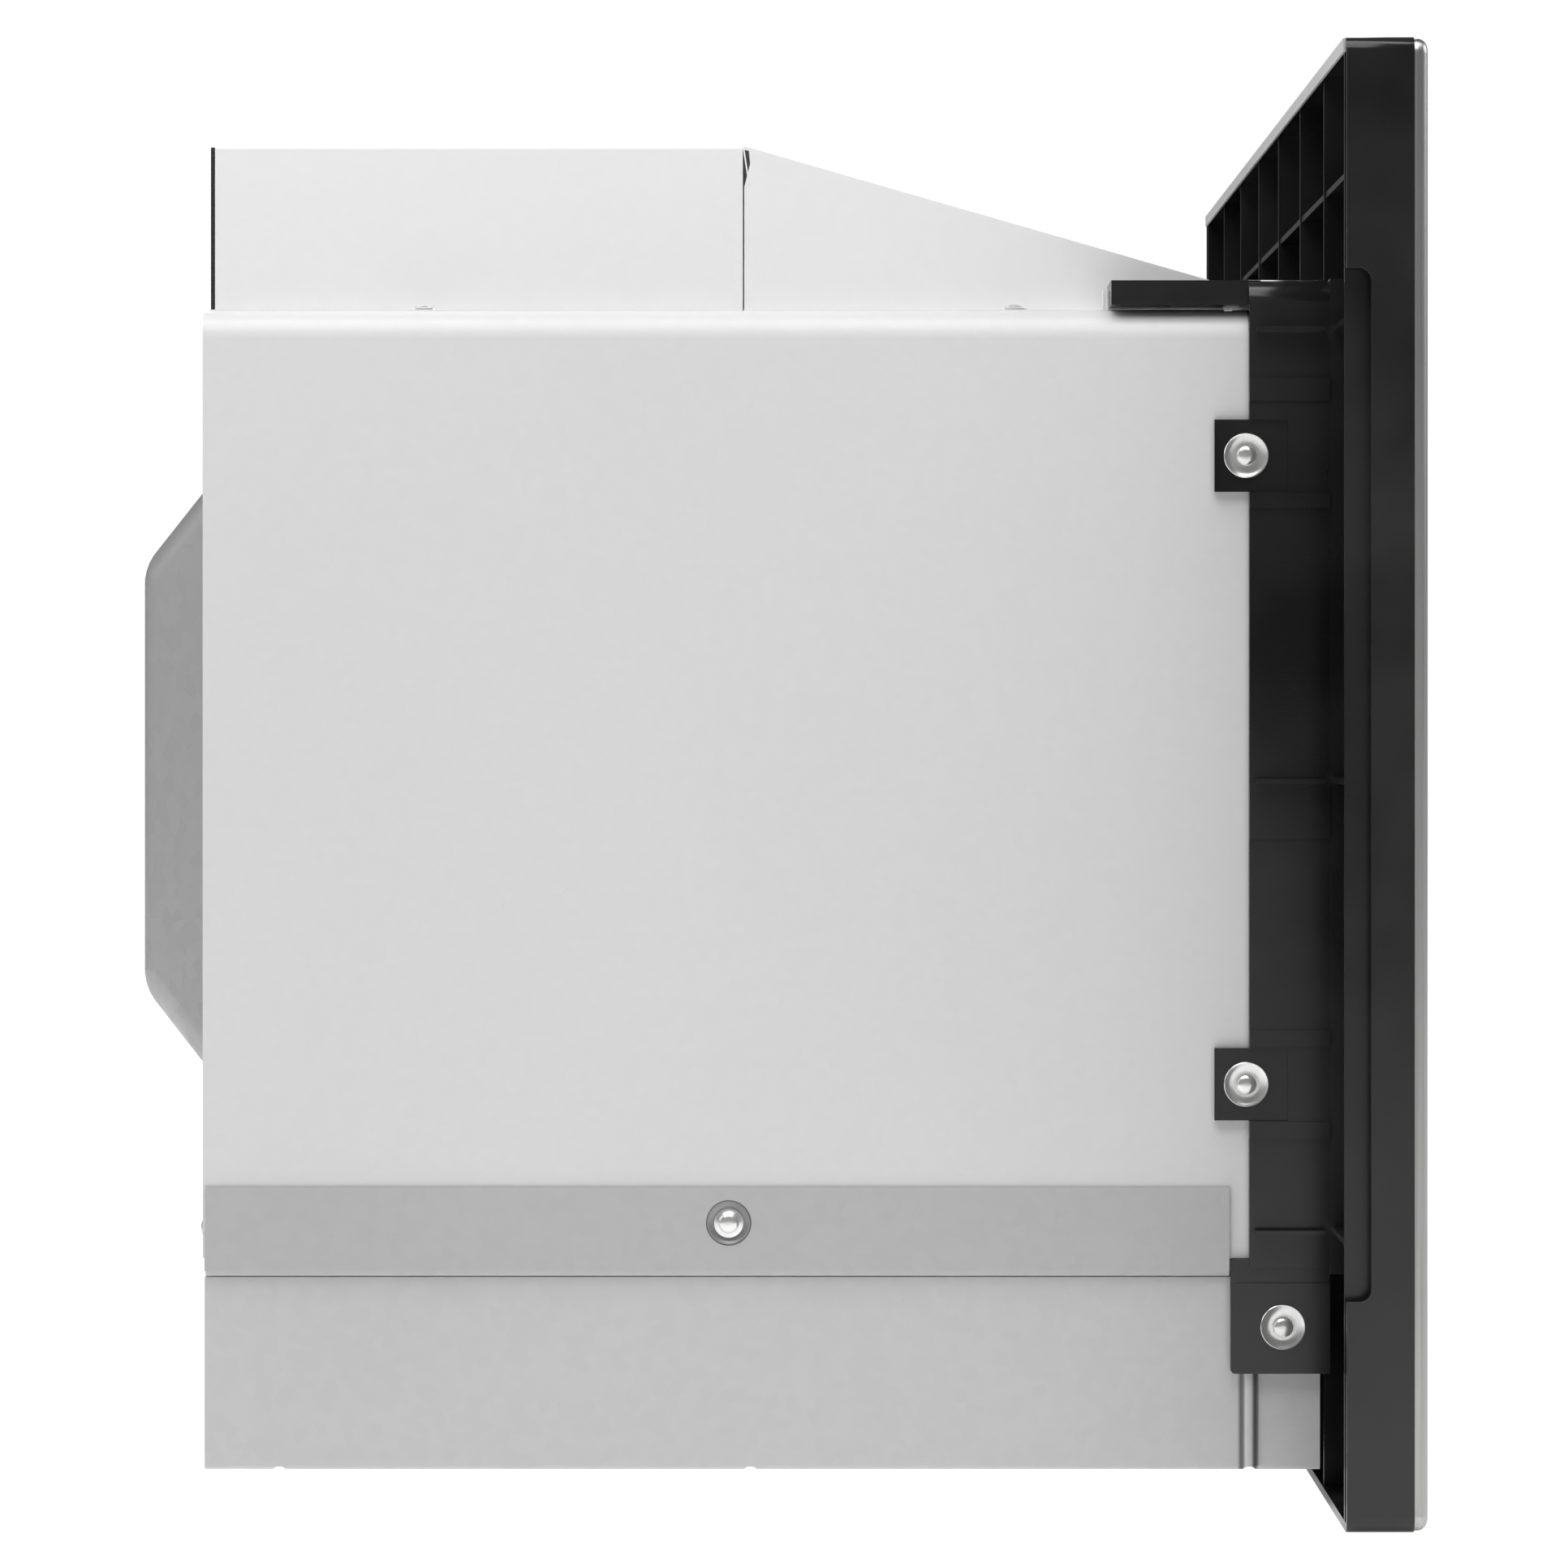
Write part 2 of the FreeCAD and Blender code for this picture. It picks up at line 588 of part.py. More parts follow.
liner.pocket("YZ", -s.cavity_left - 2, -s.cavity_left + 2,
             *[circle(s.table_y - 117.5 + 8 * i, s.cavity_top - 42 + 8 * j, 2.0) for i in range(9) for j in range(4)])
liner.pocket("XY", s.cavity_floor - 2, s.cavity_floor + 1, circle(table_x, s.table_y, s.coupler_radius + 1))
node(liner)

# The base plate carries the works, and its turned-up flanges lap outside the wrapper's lower edge.
flange_out = flange_inner + s.flange_thick
flange_y0 = wrap_front + s.flange_front
flange_y1 = wrap_rear - s.flange_rear
plate_z = s.base_height + s.floor_gap
base_plate = Piece("base_plate")
base_plate.pad(
    "XZ", flange_y0, flange_y1,
    [
        (-flange_out, plate_z), (flange_out, plate_z), (flange_out, s.flange_top), (flange_inner, s.flange_top),
        (flange_inner, floor_top), (-flange_inner, floor_top), (-flange_inner, s.flange_top),
        (-flange_out, s.flange_top),
    ],
)
base_plate.fillet(1.8 * s.floor_sheet, runs_along("y", x=[-flange_out, flange_out], z=plate_z))
for side, _ in SIDES:
    low, high = span(side, flange_out - s.dimple_depth, flange_out + 1)
    base_plate.pocket("YZ", low, high, circle(base_screw[0], base_screw[1], s.dimple_radius))
base_plate.pocket("YZ", -flange_out - 1, flange_out + 1, circle(base_screw[0], base_screw[1], s.hole_radius))
node(base_plate)

# The base pan is the air duct under the oven, and what the oven rests on.
pan_half = s.pan_width / 2
pan_in = pan_half - s.pan_sheet
base_pan = Piece("base_pan")
base_pan.pad(
    "XZ", pan_front, pan_rear,
    [
        (-pan_half, 0.0), (pan_half, 0.0), (pan_half, s.base_height), (pan_half - s.pan_lip, s.base_height),
        (pan_half - s.pan_lip, s.base_height - s.pan_sheet), (pan_in, s.base_height - s.pan_sheet),
        (pan_in, s.pan_sheet), (-pan_in, s.pan_sheet), (-pan_in, s.base_height - s.pan_sheet),
        (-pan_half + s.pan_lip, s.base_height - s.pan_sheet), (-pan_half + s.pan_lip, s.base_height),
        (-pan_half, s.base_height),
    ],
)
base_pan.pad("XZ", pan_rear - s.pan_sheet, pan_rear, rect(-pan_half, 0.0, pan_half, s.base_height))
base_pan.fillet(1.5 * s.pan_sheet, runs_along("y", x=[-pan_half, pan_half], z=0))
bead_y = pan_front + s.bead_setback
for side, _ in SIDES:
    base_pan.pad("XY", 0.0 * s.pan_sheet + 1.5, s.base_height - 1.5,
                 circle((pan_half + s.bead_rise - s.bead_radius) * side, bead_y, s.bead_radius))
base_pan.pocket("XZ", pan_front + 1, pan_rear - s.pan_sheet,
                rect(-pan_in + 0.0, s.pan_sheet, pan_in, s.base_height - s.pan_sheet))
base_pan.pocket("XZ", pan_rear - 2, pan_rear + 1,
                rect(-s.outlet_width / 2, s.outlet_edge, s.outlet_width / 2, s.base_height - s.outlet_edge))
for side, _ in SIDES:
    low, high = span(side, pan_half - s.gusset_length, pan_half + 2)
    base_pan.pocket("YZ", low, high, *[circle(y, -0.6 * s.gusset_radius, s.gusset_radius)
                                       for y in (pan_rear - 25, pan_rear - 183, bead_y)])
base_pan.pocket("YZ", -pan_half - 3, pan_half + 3, circle(bracket_y, s.bracket_screw_z, s.hole_radius))
base_pan.pocket("XY", -0.5 * s.pan_sheet, 2 * s.pan_sheet,
                *[circle(s.shelf_hole_x / 2 * i, s.shelf_hole_y / 2 * j, s.shelf_hole_radius)
                  for i in (-1, 1) for j in (-1, 1)])
node(base_pan)


# ---------------------------------------------------------------- exhaust duct on top

duct_in = duct_half - s.duct_sheet
foot_out = duct_half + s.duct_foot
duct_box = Piece("exhaust_duct_box")
duct_box.pad(
    "XZ", s.duct_seam, pan_rear,
    [
        (-foot_out, s.body_top), (-duct_in, s.body_top), (-duct_in, s.duct_top - s.duct_sheet),
        (duct_in, s.duct_top - s.duct_sheet), (duct_in, s.body_top), (foot_out, s.body_top),
        (foot_out, s.body_top + s.duct_sheet), (duct_half, s.body_top + s.duct_sheet), (duct_half, s.duct_top),
        (-duct_half, s.duct_top), (-duct_half, s.body_top + s.duct_sheet), (-foot_out, s.body_top + s.duct_sheet),
    ],
)
duct_box.fillet(1.2 * s.duct_sheet, runs_along("y", x=[-duct_half, duct_half], z=s.duct_top))
duct_box.pocket("XY", s.body_top - 1, s.body_top + 3,
                *[circle(duct_screw_x * side, duct_screws_y[0], s.hole_radius) for side, _ in SIDES])
node(duct_box)

# The sloped hood carries the duct down to the front edge, with a relief notch at its folded corner.
hood_y = wrap_front + s.hood_setback
hood_seam = s.duct_seam - s.seam_gap
hood = Piece("exhaust_duct_hood")
hood.pad("YZ", -duct_half, duct_half,
         [(hood_seam, s.body_top), (hood_seam, s.duct_top), (hood_y, s.hood_low), (hood_y, s.body_top)])
hood.pad("XY", s.body_top, s.body_top + s.duct_sheet,
         rect(-foot_out, hood_y + 4, foot_out, hood_seam))
hood.pocket("YZ", -duct_in, duct_in,
            [(hood_seam + 1, s.body_top - 1), (hood_seam + 1, s.duct_top - s.duct_sheet),
             (hood_seam, s.duct_top - s.duct_sheet), (hood_y + s.duct_sheet, s.hood_low - s.duct_sheet),
             (hood_y + s.duct_sheet, s.body_top - 1)])
for side, _ in SIDES:
    low, high = span(side, duct_in - 1, duct_half + 1)
    hood.pocket("YZ", low, high,
                [(hood_seam + 1, s.duct_top - 1), (hood_seam - 0.8 * s.notch_width, s.duct_top - 1.6),
                 (hood_seam - s.notch_width, s.duct_top - 0.6 * s.notch_drop),
                 (hood_seam + 0.5, s.duct_top - 1.6 * s.notch_drop)])
    tab0, tab1 = span(side, foot_out - 9, foot_out)
    hood.pad("XY", s.body_top, s.ear_low + 6, rect(tab0, wrap_front + s.ear_length + 1,
                                                  tab1, wrap_front + s.ear_length + 2))
hood.pocket("XY", s.body_top - 1, s.body_top + 3,
            *[circle(duct_screw_x * side, duct_screws_y[1], s.hole_radius) for side, _ in SIDES])
node(hood)

# A black foam gasket edges the duct's rear mouth on its top and sides.
gasket = Piece("duct_rear_gasket")
gasket_in = duct_half - s.gasket_width
gasket.pad(
    "XZ", pan_rear, pan_rear + s.gasket_thick,
    [
        (-duct_half, s.body_top + 1), (-duct_half, s.duct_top - 0.5), (duct_half, s.duct_top - 0.5),
        (duct_half, s.body_top + 1), (gasket_in, s.body_top + 1), (gasket_in, s.duct_top - s.gasket_width),
        (-gasket_in, s.duct_top - s.gasket_width), (-gasket_in, s.body_top + 1),
    ],
)
node(gasket)


# ---------------------------------------------------------------- moulded collar

collar = Piece("duct_collar")
collar.pad("XZ", trim_rear, wrap_front, rect(-collar_half, s.collar_low, collar_half, s.collar_top))
collar.fillet(s.collar_round, runs_along("y", x=[-collar_half, collar_half], z=s.collar_top))
collar.pocket("XZ", trim_rear - 1, wrap_front + 1,
              rect(-collar_in, s.collar_low + s.collar_wall - 0.5, collar_in, s.collar_top - s.collar_wall))
collar.fillet(s.collar_round - s.collar_wall,
              runs_along("y", x=[-collar_in, collar_in], z=s.collar_top - s.collar_wall))
for side, _ in SIDES:
    ear0, ear1 = span(side, body_half - s.ear_width, body_half)
    collar.pad("XY", s.ear_low, s.collar_top - 0.3,
               rect(ear0, wrap_front - 4, ear1, wrap_front + s.ear_length))
    low, high = span(side, tab_out, collar_half + 1)
    tab_rects = [rect(tab_start, z - s.tab_half, wrap_front + 1, z + s.tab_half) for z in (s.tab_upper, s.tab_lower)]
    collar.pocket("YZ", low, high, *tab_rects)
    low, high = span(side, body_half + s.tab_lift, tab_out)
    collar.pad("YZ", low, high, *[rect(tab_start, z - s.tab_half, tab_reach, z + s.tab_half)
                                  for z in (s.tab_upper, s.tab_lower)])
    low, high = span(side, collar_in + 0.5, collar_half + s.collar_rib)
    collar.pad("YZ", low, high, *[rect(trim_rear + 2, z, wrap_front - 2, z + s.collar_rib_thick)
                                  for z in (s.collar_top - 17.8, s.collar_low + 162.2, s.collar_low + 11.5)])
    low, high = span(side, collar_half - 1, collar_half + 0.7)
    collar.pad("YZ", low, high, *[rect(trim_rear, z0, wrap_front, z0 + rise) for z0, rise in (
        (s.tab_upper + 18.4, 7.6), (s.tab_upper - 17.6, 5.2), (s.tab_lower + 12.9, 5.3),
        (s.tab_lower + 82.2, 18.6), (s.tab_lower - 18.0, 5.6))])
    low, high = span(side, bracket_in, bracket_out)
    collar.pad("YZ", low, high,
               rect(trim_rear, s.bracket_low, wrap_front + s.bracket_rear, s.bracket_high),
               )
    low, high = span(side, bracket_in, bracket_out - 0.8)
    collar.pad("YZ", low, high,
               rect(trim_rear, s.bracket_high - 1, wrap_front + s.bracket_rear, s.wrap_bottom))
collar.pocket("YZ", -collar_half - 9, collar_half + 9,
              *[circle(screw_y, z, s.hole_radius) for z in (s.tab_upper, s.tab_lower)],
              circle(bracket_y, s.bracket_screw_z, s.hole_radius))
collar.pocket("XZ", plate_front - 1.6, wrap_front + 1,
              rect(-collar_in + 0.3, s.collar_low - 1, plate_right + 1, s.collar_low + s.collar_wall))
collar.fillet(1.6, lambda e: runs_along("x")(e) and near(e.CenterOfMass.y, wrap_front + s.bracket_rear))
node(collar)


# ---------------------------------------------------------------- front trim

# The trim is a black moulding, open and ribbed behind; its side walls are relieved between the corners.
trim = Piece("trim_frame")
web_rear = trim_front + s.trim_web
rib_rear = trim_rear - s.rib_setback
trim.pad("XZ", trim_front, trim_rear, rect(-trim_half, trim_low, trim_half, trim_high))
trim.fillet(s.trim_round, runs_along("y"))
trim.pocket("XZ", web_rear, trim_rear + 1,
            rect(-trim_half + s.trim_wall, trim_low + s.trim_wall, trim_half - s.trim_wall, trim_high - s.trim_wall))
rim_half = opening_half + s.opening_step + 2
rim_low, rim_high = s.opening_bottom - s.opening_step, opening_top + s.opening_step + 4
trim.pad("XZ", web_rear - 1, trim_rear, rect(-collar_half, s.collar_low - 2, collar_half, s.collar_top))
inner_web = trim_half - s.trim_wall - s.inner_web_inset
for side, _ in SIDES:
    low, high = span(side, inner_web - s.trim_web, inner_web)
    trim.pad("XZ", web_rear - 1, trim_rear,
             rect(low, trim_low + 1, high, trim_high - 1))
    low, high = span(side, collar_half - 1, inner_web)
    trim.pad("XZ", web_rear - 1, rib_rear, *[rect(low, z, high, z + s.rib_thick) for z in (
        s.collar_top - 17.8, s.collar_low + 162.2, s.collar_low + 11.5)])
uprights = [s.rib_pitch * (k - 0.5) for k in range(-2, 4)]
trim.pad("XZ", web_rear - 1, rib_rear,
         *[rect(x - s.rib_thick / 2, s.collar_top - 1, x + s.rib_thick / 2, trim_high - 1) for x in uprights])
trim.pad("XZ", web_rear - 1, rib_rear,
         *[rect(x - s.rib_thick / 2, trim_low + 1, x + s.rib_thick / 2, s.collar_low - 1) for x in uprights])
trim.pad("XZ", web_rear - 1, rib_rear - 0.6,
         rect(-inner_web, s.rib_level - s.rib_thick / 2, inner_web, s.rib_level + s.rib_thick / 2))
trim.pocket("XZ", trim_front - 1, trim_rear + 1, rect(-rim_half, rim_low, rim_half, rim_high))
trim.pad("XZ", trim_front, web_rear,
         rect(-rim_half - 1, rim_low - 1, -opening_half - s.opening_step, rim_high + 1))
trim.pad("XZ", trim_front, web_rear,
         rect(opening_half + s.opening_step, rim_low - 1, rim_half + 1, rim_high + 1))
trim.pad("XZ", trim_front, web_rear,
         rect(-rim_half, opening_top + s.opening_step, rim_half, rim_high + 1))
trim.pocket("XZ", trim_front - 1, trim_rear + 1,
            rect(-s.vent_width / 2, s.vent_low, s.vent_width / 2, s.vent_high))
for side, _ in SIDES:
    low, high = span(side, trim_half - s.trim_wall - 1, trim_half + 1)
    trim.pocket("YZ", low, high,
                rect(trim_rear - s.relief_depth, s.relief_bottom, trim_rear + 1, s.relief_top))
trim.fillet(s.relief_round, lambda e: runs_along("x", y=trim_rear - s.relief_depth)(e)
            and abs(e.CenterOfMass.x) > number(inner_web))
node(trim)

# A pale sealing strip is stuck along the rear edge of the trim's top wall.
seal_rear = trim_rear + s.seal_thick
node(block("trim_top_seal", -trim_half + s.trim_round, trim_half - s.trim_round, trim_rear, seal_rear,
           trim_high - s.seal_height, trim_high - 0.3))

# The face is a stainless sheet ring with its edges turned back over the moulding.
face = Piece("trim_face")
face_half = trim_half - s.face_lap
face_low, face_high = trim_low + s.face_lap, trim_high - s.face_lap
face.pad("XZ", face_front, trim_front, rect(-face_half, face_low, face_half, face_high))
face.fillet(s.trim_round, runs_along("y"))
face.fillet(s.face_round, lambda e: near(e.BoundBox.YMin, face_front) and near(e.BoundBox.YMax, face_front))
face.pocket("XZ", face_front - 1, trim_front + 1,
            rect(-opening_half, s.opening_bottom, opening_half, opening_top),
            rect(-s.vent_width / 2, s.vent_low, s.vent_width / 2, s.vent_high))
hollow = s.face_sheet * 2.6
for low_x, low_z, high_x, high_z in (
    (-face_half + hollow, face_low + hollow, face_half - hollow, s.vent_low - hollow),
    (-face_half + hollow, s.vent_high + hollow, face_half - hollow, s.opening_bottom - hollow),
    (-face_half + hollow, opening_top + hollow, face_half - hollow, face_high - hollow),
    (-face_half + hollow, s.opening_bottom - hollow - 1, -opening_half - hollow, opening_top + hollow + 1),
    (opening_half + hollow, s.opening_bottom - hollow - 1, face_half - hollow, opening_top + hollow + 1),
):
    face.pocket("XZ", face_front + s.face_sheet, trim_front + 1, rect(low_x, low_z, high_x, high_z))
node(face)

# The vent grille fills the slot under the door with slats and dividers.
grille_half = s.vent_width / 2 - s.vent_play
grille_low, grille_high = s.vent_low + s.vent_play, s.vent_high - s.vent_play
grille_front = face_front + 1
grille_rear = grille_front + s.vent_depth
vent = Piece("vent_grille")
vent.pad("XZ", grille_front, grille_rear, rect(-grille_half, grille_low, grille_half, grille_high))
clear_height = (grille_high - grille_low - s.vent_slat * 4) / 3
bays = 5
bay_width = (grille_half * 2 - s.vent_slat * (bays + 1)) / bays
for bay in range(bays):
    left = -grille_half + s.vent_slat + (bay_width + s.vent_slat) * bay
    gaps = []
    for level in range(3):
        low = grille_low + s.vent_slat + (clear_height + s.vent_slat) * level
        gaps.append(rect(left, low, left + bay_width, low + clear_height))
    vent.pocket("XZ", grille_front - 1, grille_rear + 1, *gaps)
node(vent)


# ---------------------------------------------------------------- door

glass_rear = door_front + s.glass_thick
window_left, window_right = door_left + s.window_side, door_right - s.window_side
window_low, window_high = door_low + s.window_top, door_high - s.window_top
choke_rear = door_rear
choke_front = choke_rear - s.choke_depth
door = Piece("door_frame")
door.pad("XZ", glass_rear, choke_front, rect(door_left, door_low, door_right, door_high))
door.fillet(4.0, runs_along("y", x=[door_left, door_right], z=[door_low, door_high]))
door.pocket("XZ", glass_rear + s.door_wall, choke_front + 1,
            rect(door_left + s.door_wall, door_low + s.door_wall, door_right - s.door_wall, door_high - s.door_wall))
door.pad("XZ", glass_rear + 1, choke_front,
         rect(window_left - s.door_wall, window_low - s.door_wall,
              window_right + s.door_wall, window_high + s.door_wall))
door.pocket("XZ", glass_rear - 1, choke_front + 1, rect(window_left, window_low, window_right, window_high))
for low, high in ((door_low, door_low + s.boss_height), (door_high - s.boss_height, door_high)):
    door.pad("XY", low, high, circle(hinge_x, hinge_y, s.boss_radius - 0.8))
door.pocket("XZ", door_front - 10, glass_rear, rect(door_left - 9, door_low - 9, door_right + 9, door_high + 9))
door.pocket("YZ", door_left - 20, door_left, rect(glass_rear - 20, door_low - 5, choke_front + 9, door_high + 5))
pin_hole = s.pin_radius + s.pin_play
door.pocket("XY", door_low - 1, door_low + s.boss_height - 1, circle(hinge_x, hinge_y, pin_hole))
door.pocket("XY", door_high - s.boss_height + 1, door_high + 1, circle(hinge_x, hinge_y, pin_hole))
slot_low = s.hook_low - 8
slot_high = s.hook_high + s.hook_height + s.latch_lift + 8
node(door)

glass = Piece("door_glass")
glass.pad("XZ", door_front, glass_rear - 0.05, rect(door_left + 0.5, door_low + 0.5, door_right - 0.5, door_high - 0.5))
glass.fillet(4.0, runs_along("y"))
glass.fillet(0.8, lambda e: near(e.BoundBox.YMin, door_front) and near(e.BoundBox.YMax, door_front))
node(glass)

# The choke panel is the door's inner steel pan: a flat with the screen opening and a folded rim.
choke_inset = 4.0
choke = Piece("door_choke_panel")
choke_left, choke_right = door_left + choke_inset, door_right - 3.2
choke_low, choke_high = door_low + choke_inset, door_high - choke_inset
choke.pad("XZ", choke_rear - s.choke_sheet, choke_rear, rect(choke_left, choke_low, choke_right, choke_high))
choke.pad("XZ", choke_front, choke_rear - s.choke_sheet,
          rect(choke_left, choke_low, choke_right, choke_high),
          rect(choke_left + s.choke_sheet, choke_low + s.choke_sheet,
               choke_right - s.choke_sheet, choke_high - s.choke_sheet))
choke.fillet(5.0, runs_along("y", x=[choke_left, choke_right]))
choke.fillet(4.0, runs_along("y", x=[choke_left + s.choke_sheet, choke_right - s.choke_sheet]))
choke_ring = [
    rect(choke_left + s.choke_width, choke_low + s.choke_width, choke_right - s.choke_width, choke_high - s.choke_width),
]
choke.pad("XZ", choke_front, choke_rear - 0.2, *choke_ring)
choke.pocket("XZ", choke_front - 1, choke_rear - s.choke_sheet,
             rect(choke_left + s.choke_width + s.choke_sheet, choke_low + s.choke_width + s.choke_sheet,
                  choke_right - s.choke_width - s.choke_sheet, choke_high - s.choke_width - s.choke_sheet))
choke.pocket("XZ", choke_front - 1, choke_rear + 1, rect(window_left, window_low, window_right, window_high))
hook_slots = [rect(latch_x - s.latch_width / 2 - 1, z - 2, latch_x + s.latch_width / 2 + 1,
                   z + s.hook_height + s.latch_lift + 2) for z in (s.hook_low, s.hook_high)]
choke.pocket("XZ", choke_front - 1, choke_rear + 1, *hook_slots)
node(choke)

screen_front = choke_rear - s.choke_sheet - s.screen_thick - 0.05
node(block("door_screen", window_left - 5, window_right + 5, screen_front, screen_front + s.screen_thick,
           window_low - 5, window_high + 5))

cover = Piece("door_choke_cover")
cover_rear = choke_rear + 1.2
cover.pad("XZ", choke_rear + 0.05, cover_rear, rect(choke_left + 4, choke_low + 2, choke_right - 2, choke_high - 2))
cover.fillet(4.0, runs_along("y"))
cover.pocket("XZ", choke_rear - 1, cover_rear + 1,
             rect(choke_left + s.choke_width + 4, choke_low + s.choke_width + 4,
                  choke_right - s.choke_width - 4, choke_high - s.choke_width - 4))
cover.pocket("XZ", choke_rear - 1, cover_rear + 1, *hook_slots)
node(cover)

node(block("door_inner_film", window_left - 12, window_right + 12, choke_rear + 0.05, choke_rear + 0.8,
           window_low - 12, window_high + 12))

# The latch key is the door's lifting bar with two hooks that reach through the front plate.
key = Piece("door_latch_key")
key_x0, key_x1 = latch_x - s.latch_width / 2, latch_x + s.latch_width / 2
bar_front, bar_rear = choke_front + 2, choke_rear - s.choke_sheet - 2
hook_end = plate_rear + s.hook_reach
hook_outline = []
for z in (s.hook_low, s.hook_high):
    hook_outline.append([(bar_rear - 1, z), (hook_end - 7, z), (hook_end - 7, z - 1.5), (hook_end - 4, z - 1.5),
                         (hook_end, z + 3), (hook_end, z + 6), (hook_end - 5, z + s.hook_height),
                         (bar_rear - 1, z + s.hook_height)])
key.pad("YZ", key_x0, key_x1, rect(bar_front, s.hook_low - 6, bar_rear, s.hook_high + s.hook_height + 4))
for outline in hook_outline:
    key.pad("YZ", key_x0, key_x1, outline)
node(key)

# Two hinge leaves are fixed to the front plate; their pins enter the door's bosses.
hinge_parts = []
leaf_low, leaf_high = door_low - s.hinge_clear - s.hinge_plate, door_high + s.hinge_clear
for name, leaf_z, root_z0, root_z1, pin0, pin1 in (
    ("upper", leaf_high, leaf_high, leaf_high + 3.8, door_high - s.boss_height + 2, leaf_high + 0.5),
    ("lower", leaf_low, leaf_low - 1.5, leaf_low + s.hinge_plate, leaf_low + s.hinge_plate - 0.5,
     door_low + s.boss_height - 2),
):
    leaf = block(f"hinge_leaf_{name}", hinge_x - 7, hinge_x + 22, hinge_y - 5, plate_front - 0.05, leaf_z,
                 leaf_z + s.hinge_plate)
    root = block(f"hinge_root_{name}", hinge_x - 7, hinge_x + 22, plate_front - 1.25, plate_front - 0.05,
                 root_z0, root_z1)
    pin = rod(f"hinge_pin_{name}", "z", hinge_x, hinge_y, pin0, s.pin_radius, pin1 - pin0)
    hinge_parts.append(fuse(f"hinge_{name}", leaf, root, pin))
node(group("hinge_brackets", *hinge_parts))


# ---------------------------------------------------------------- control panel

fascia = Piece("control_fascia")
fascia_front = glass_rear
fascia.pad("XZ", fascia_front, plate_front, rect(fascia_left, door_low, fascia_right, door_high))
fascia.fillet(4.0, runs_along("y"))
button_left, button_right = fascia_left + s.button_edge, fascia_right - s.button_edge
button_high = s.button_low + s.button_height
fascia.pad("XZ", door_front, fascia_front + 1, rect(fascia_left + 0.5, door_low + 0.5, fascia_right - 0.5, s.keypad_low - 0.5))
fascia.pocket("XZ", fascia_front + s.panel_wall, plate_front + 1,
              rect(fascia_left + s.panel_wall, door_low + s.panel_wall,
                   fascia_right - s.panel_wall, door_high - s.panel_wall))
fascia.pocket("XZ", door_front - 1, plate_front + 1,
              rect(button_left - s.button_play, s.button_low - s.button_play,
                   button_right + s.button_play, button_high + s.button_play))
fascia.pad("XZ", plate_front - 2, wrap_front + 3, rect(fascia_right - s.panel_wall, door_low + 10,
                                                     body_inner - 0.3, door_high - 10))
fascia.pocket("YZ", fascia_right - 4, body_half, *[circle(screw_y, z, s.hole_radius)
                                                   for z in (s.tab_upper, s.tab_lower)])
node(fascia)

pad_glass = Piece("keypad_glass")
pad_glass.pad("XZ", door_front, fascia_front - 0.05,
              rect(fascia_left + 0.5, s.keypad_low, fascia_right - 0.5, door_high - 0.5))
pad_glass.fillet(0.8, lambda e: near(e.BoundBox.YMin, door_front) and near(e.BoundBox.YMax, door_front))
node(pad_glass)

board_y = fascia_front + s.panel_wall + 3
fascia_mid = (fascia_left + fascia_right) / 2
board_half = (fascia_right - fascia_left) / 2 - 9
board_parts = [
    block("board_sheet", fascia_mid - board_half, fascia_mid + board_half, board_y, board_y + 1.6,
          s.keypad_low + 17, door_high - 53),
    block("board_relay", fascia_mid - 50, fascia_mid - 30, board_y + 1.6, board_y + 17,
          s.keypad_low + 32, s.keypad_low + 48),
    block("board_relay_b", fascia_mid - 22, fascia_mid - 2, board_y + 1.6, board_y + 17,
          s.keypad_low + 32, s.keypad_low + 48),
    block("board_transformer", fascia_mid + 15, fascia_mid + 47, board_y + 1.6, board_y + 26,
          s.keypad_low + 32, s.keypad_low + 62),
    block("board_chip", fascia_mid - 20, fascia_mid + 10, board_y + 1.6, board_y + 5,
          s.keypad_low + 112, s.keypad_low + 124),
]
board_parts += [rod(f"board_can_{i}", "y", fascia_mid - 40 + 16 * i, board_y + 1.6, s.keypad_low + 82, 5.0, 14.0)
                for i in range(4)]
node(fuse("control_board", *board_parts))
node(block("display_module", fascia_mid - 46, fascia_mid + 46, fascia_front + s.panel_wall + 0.3,
           fascia_front + s.panel_wall + 8, door_high - 45, door_high - 17))

# The door button: a cap in the fascia with a stem that runs back to the release lever.
stem_x0 = fascia_left + s.panel_wall + 2
stem_x1 = stem_x0 + 8
stem_low, stem_high = s.button_low + 6, s.button_low + 14
stem_end = plate_front + 8
button = Piece("door_button")
button_cap_rear = fascia_front + s.panel_wall + s.button_travel - 2
button.pad("XZ", door_front - 0.8, button_cap_rear, rect(button_left, s.button_low, button_right, button_high))
button.fillet(1.5, lambda e: near(e.BoundBox.YMin, door_front - 0.8) and near(e.BoundBox.YMax, door_front - 0.8))
button.pad("XZ", button_cap_rear - 2, button_cap_rear + 3, rect(stem_x0, stem_low, button_left + 12, stem_high))
button.pad("XZ", button_cap_rear, stem_end, rect(stem_x0, stem_low, stem_x1, stem_high))
node(button)

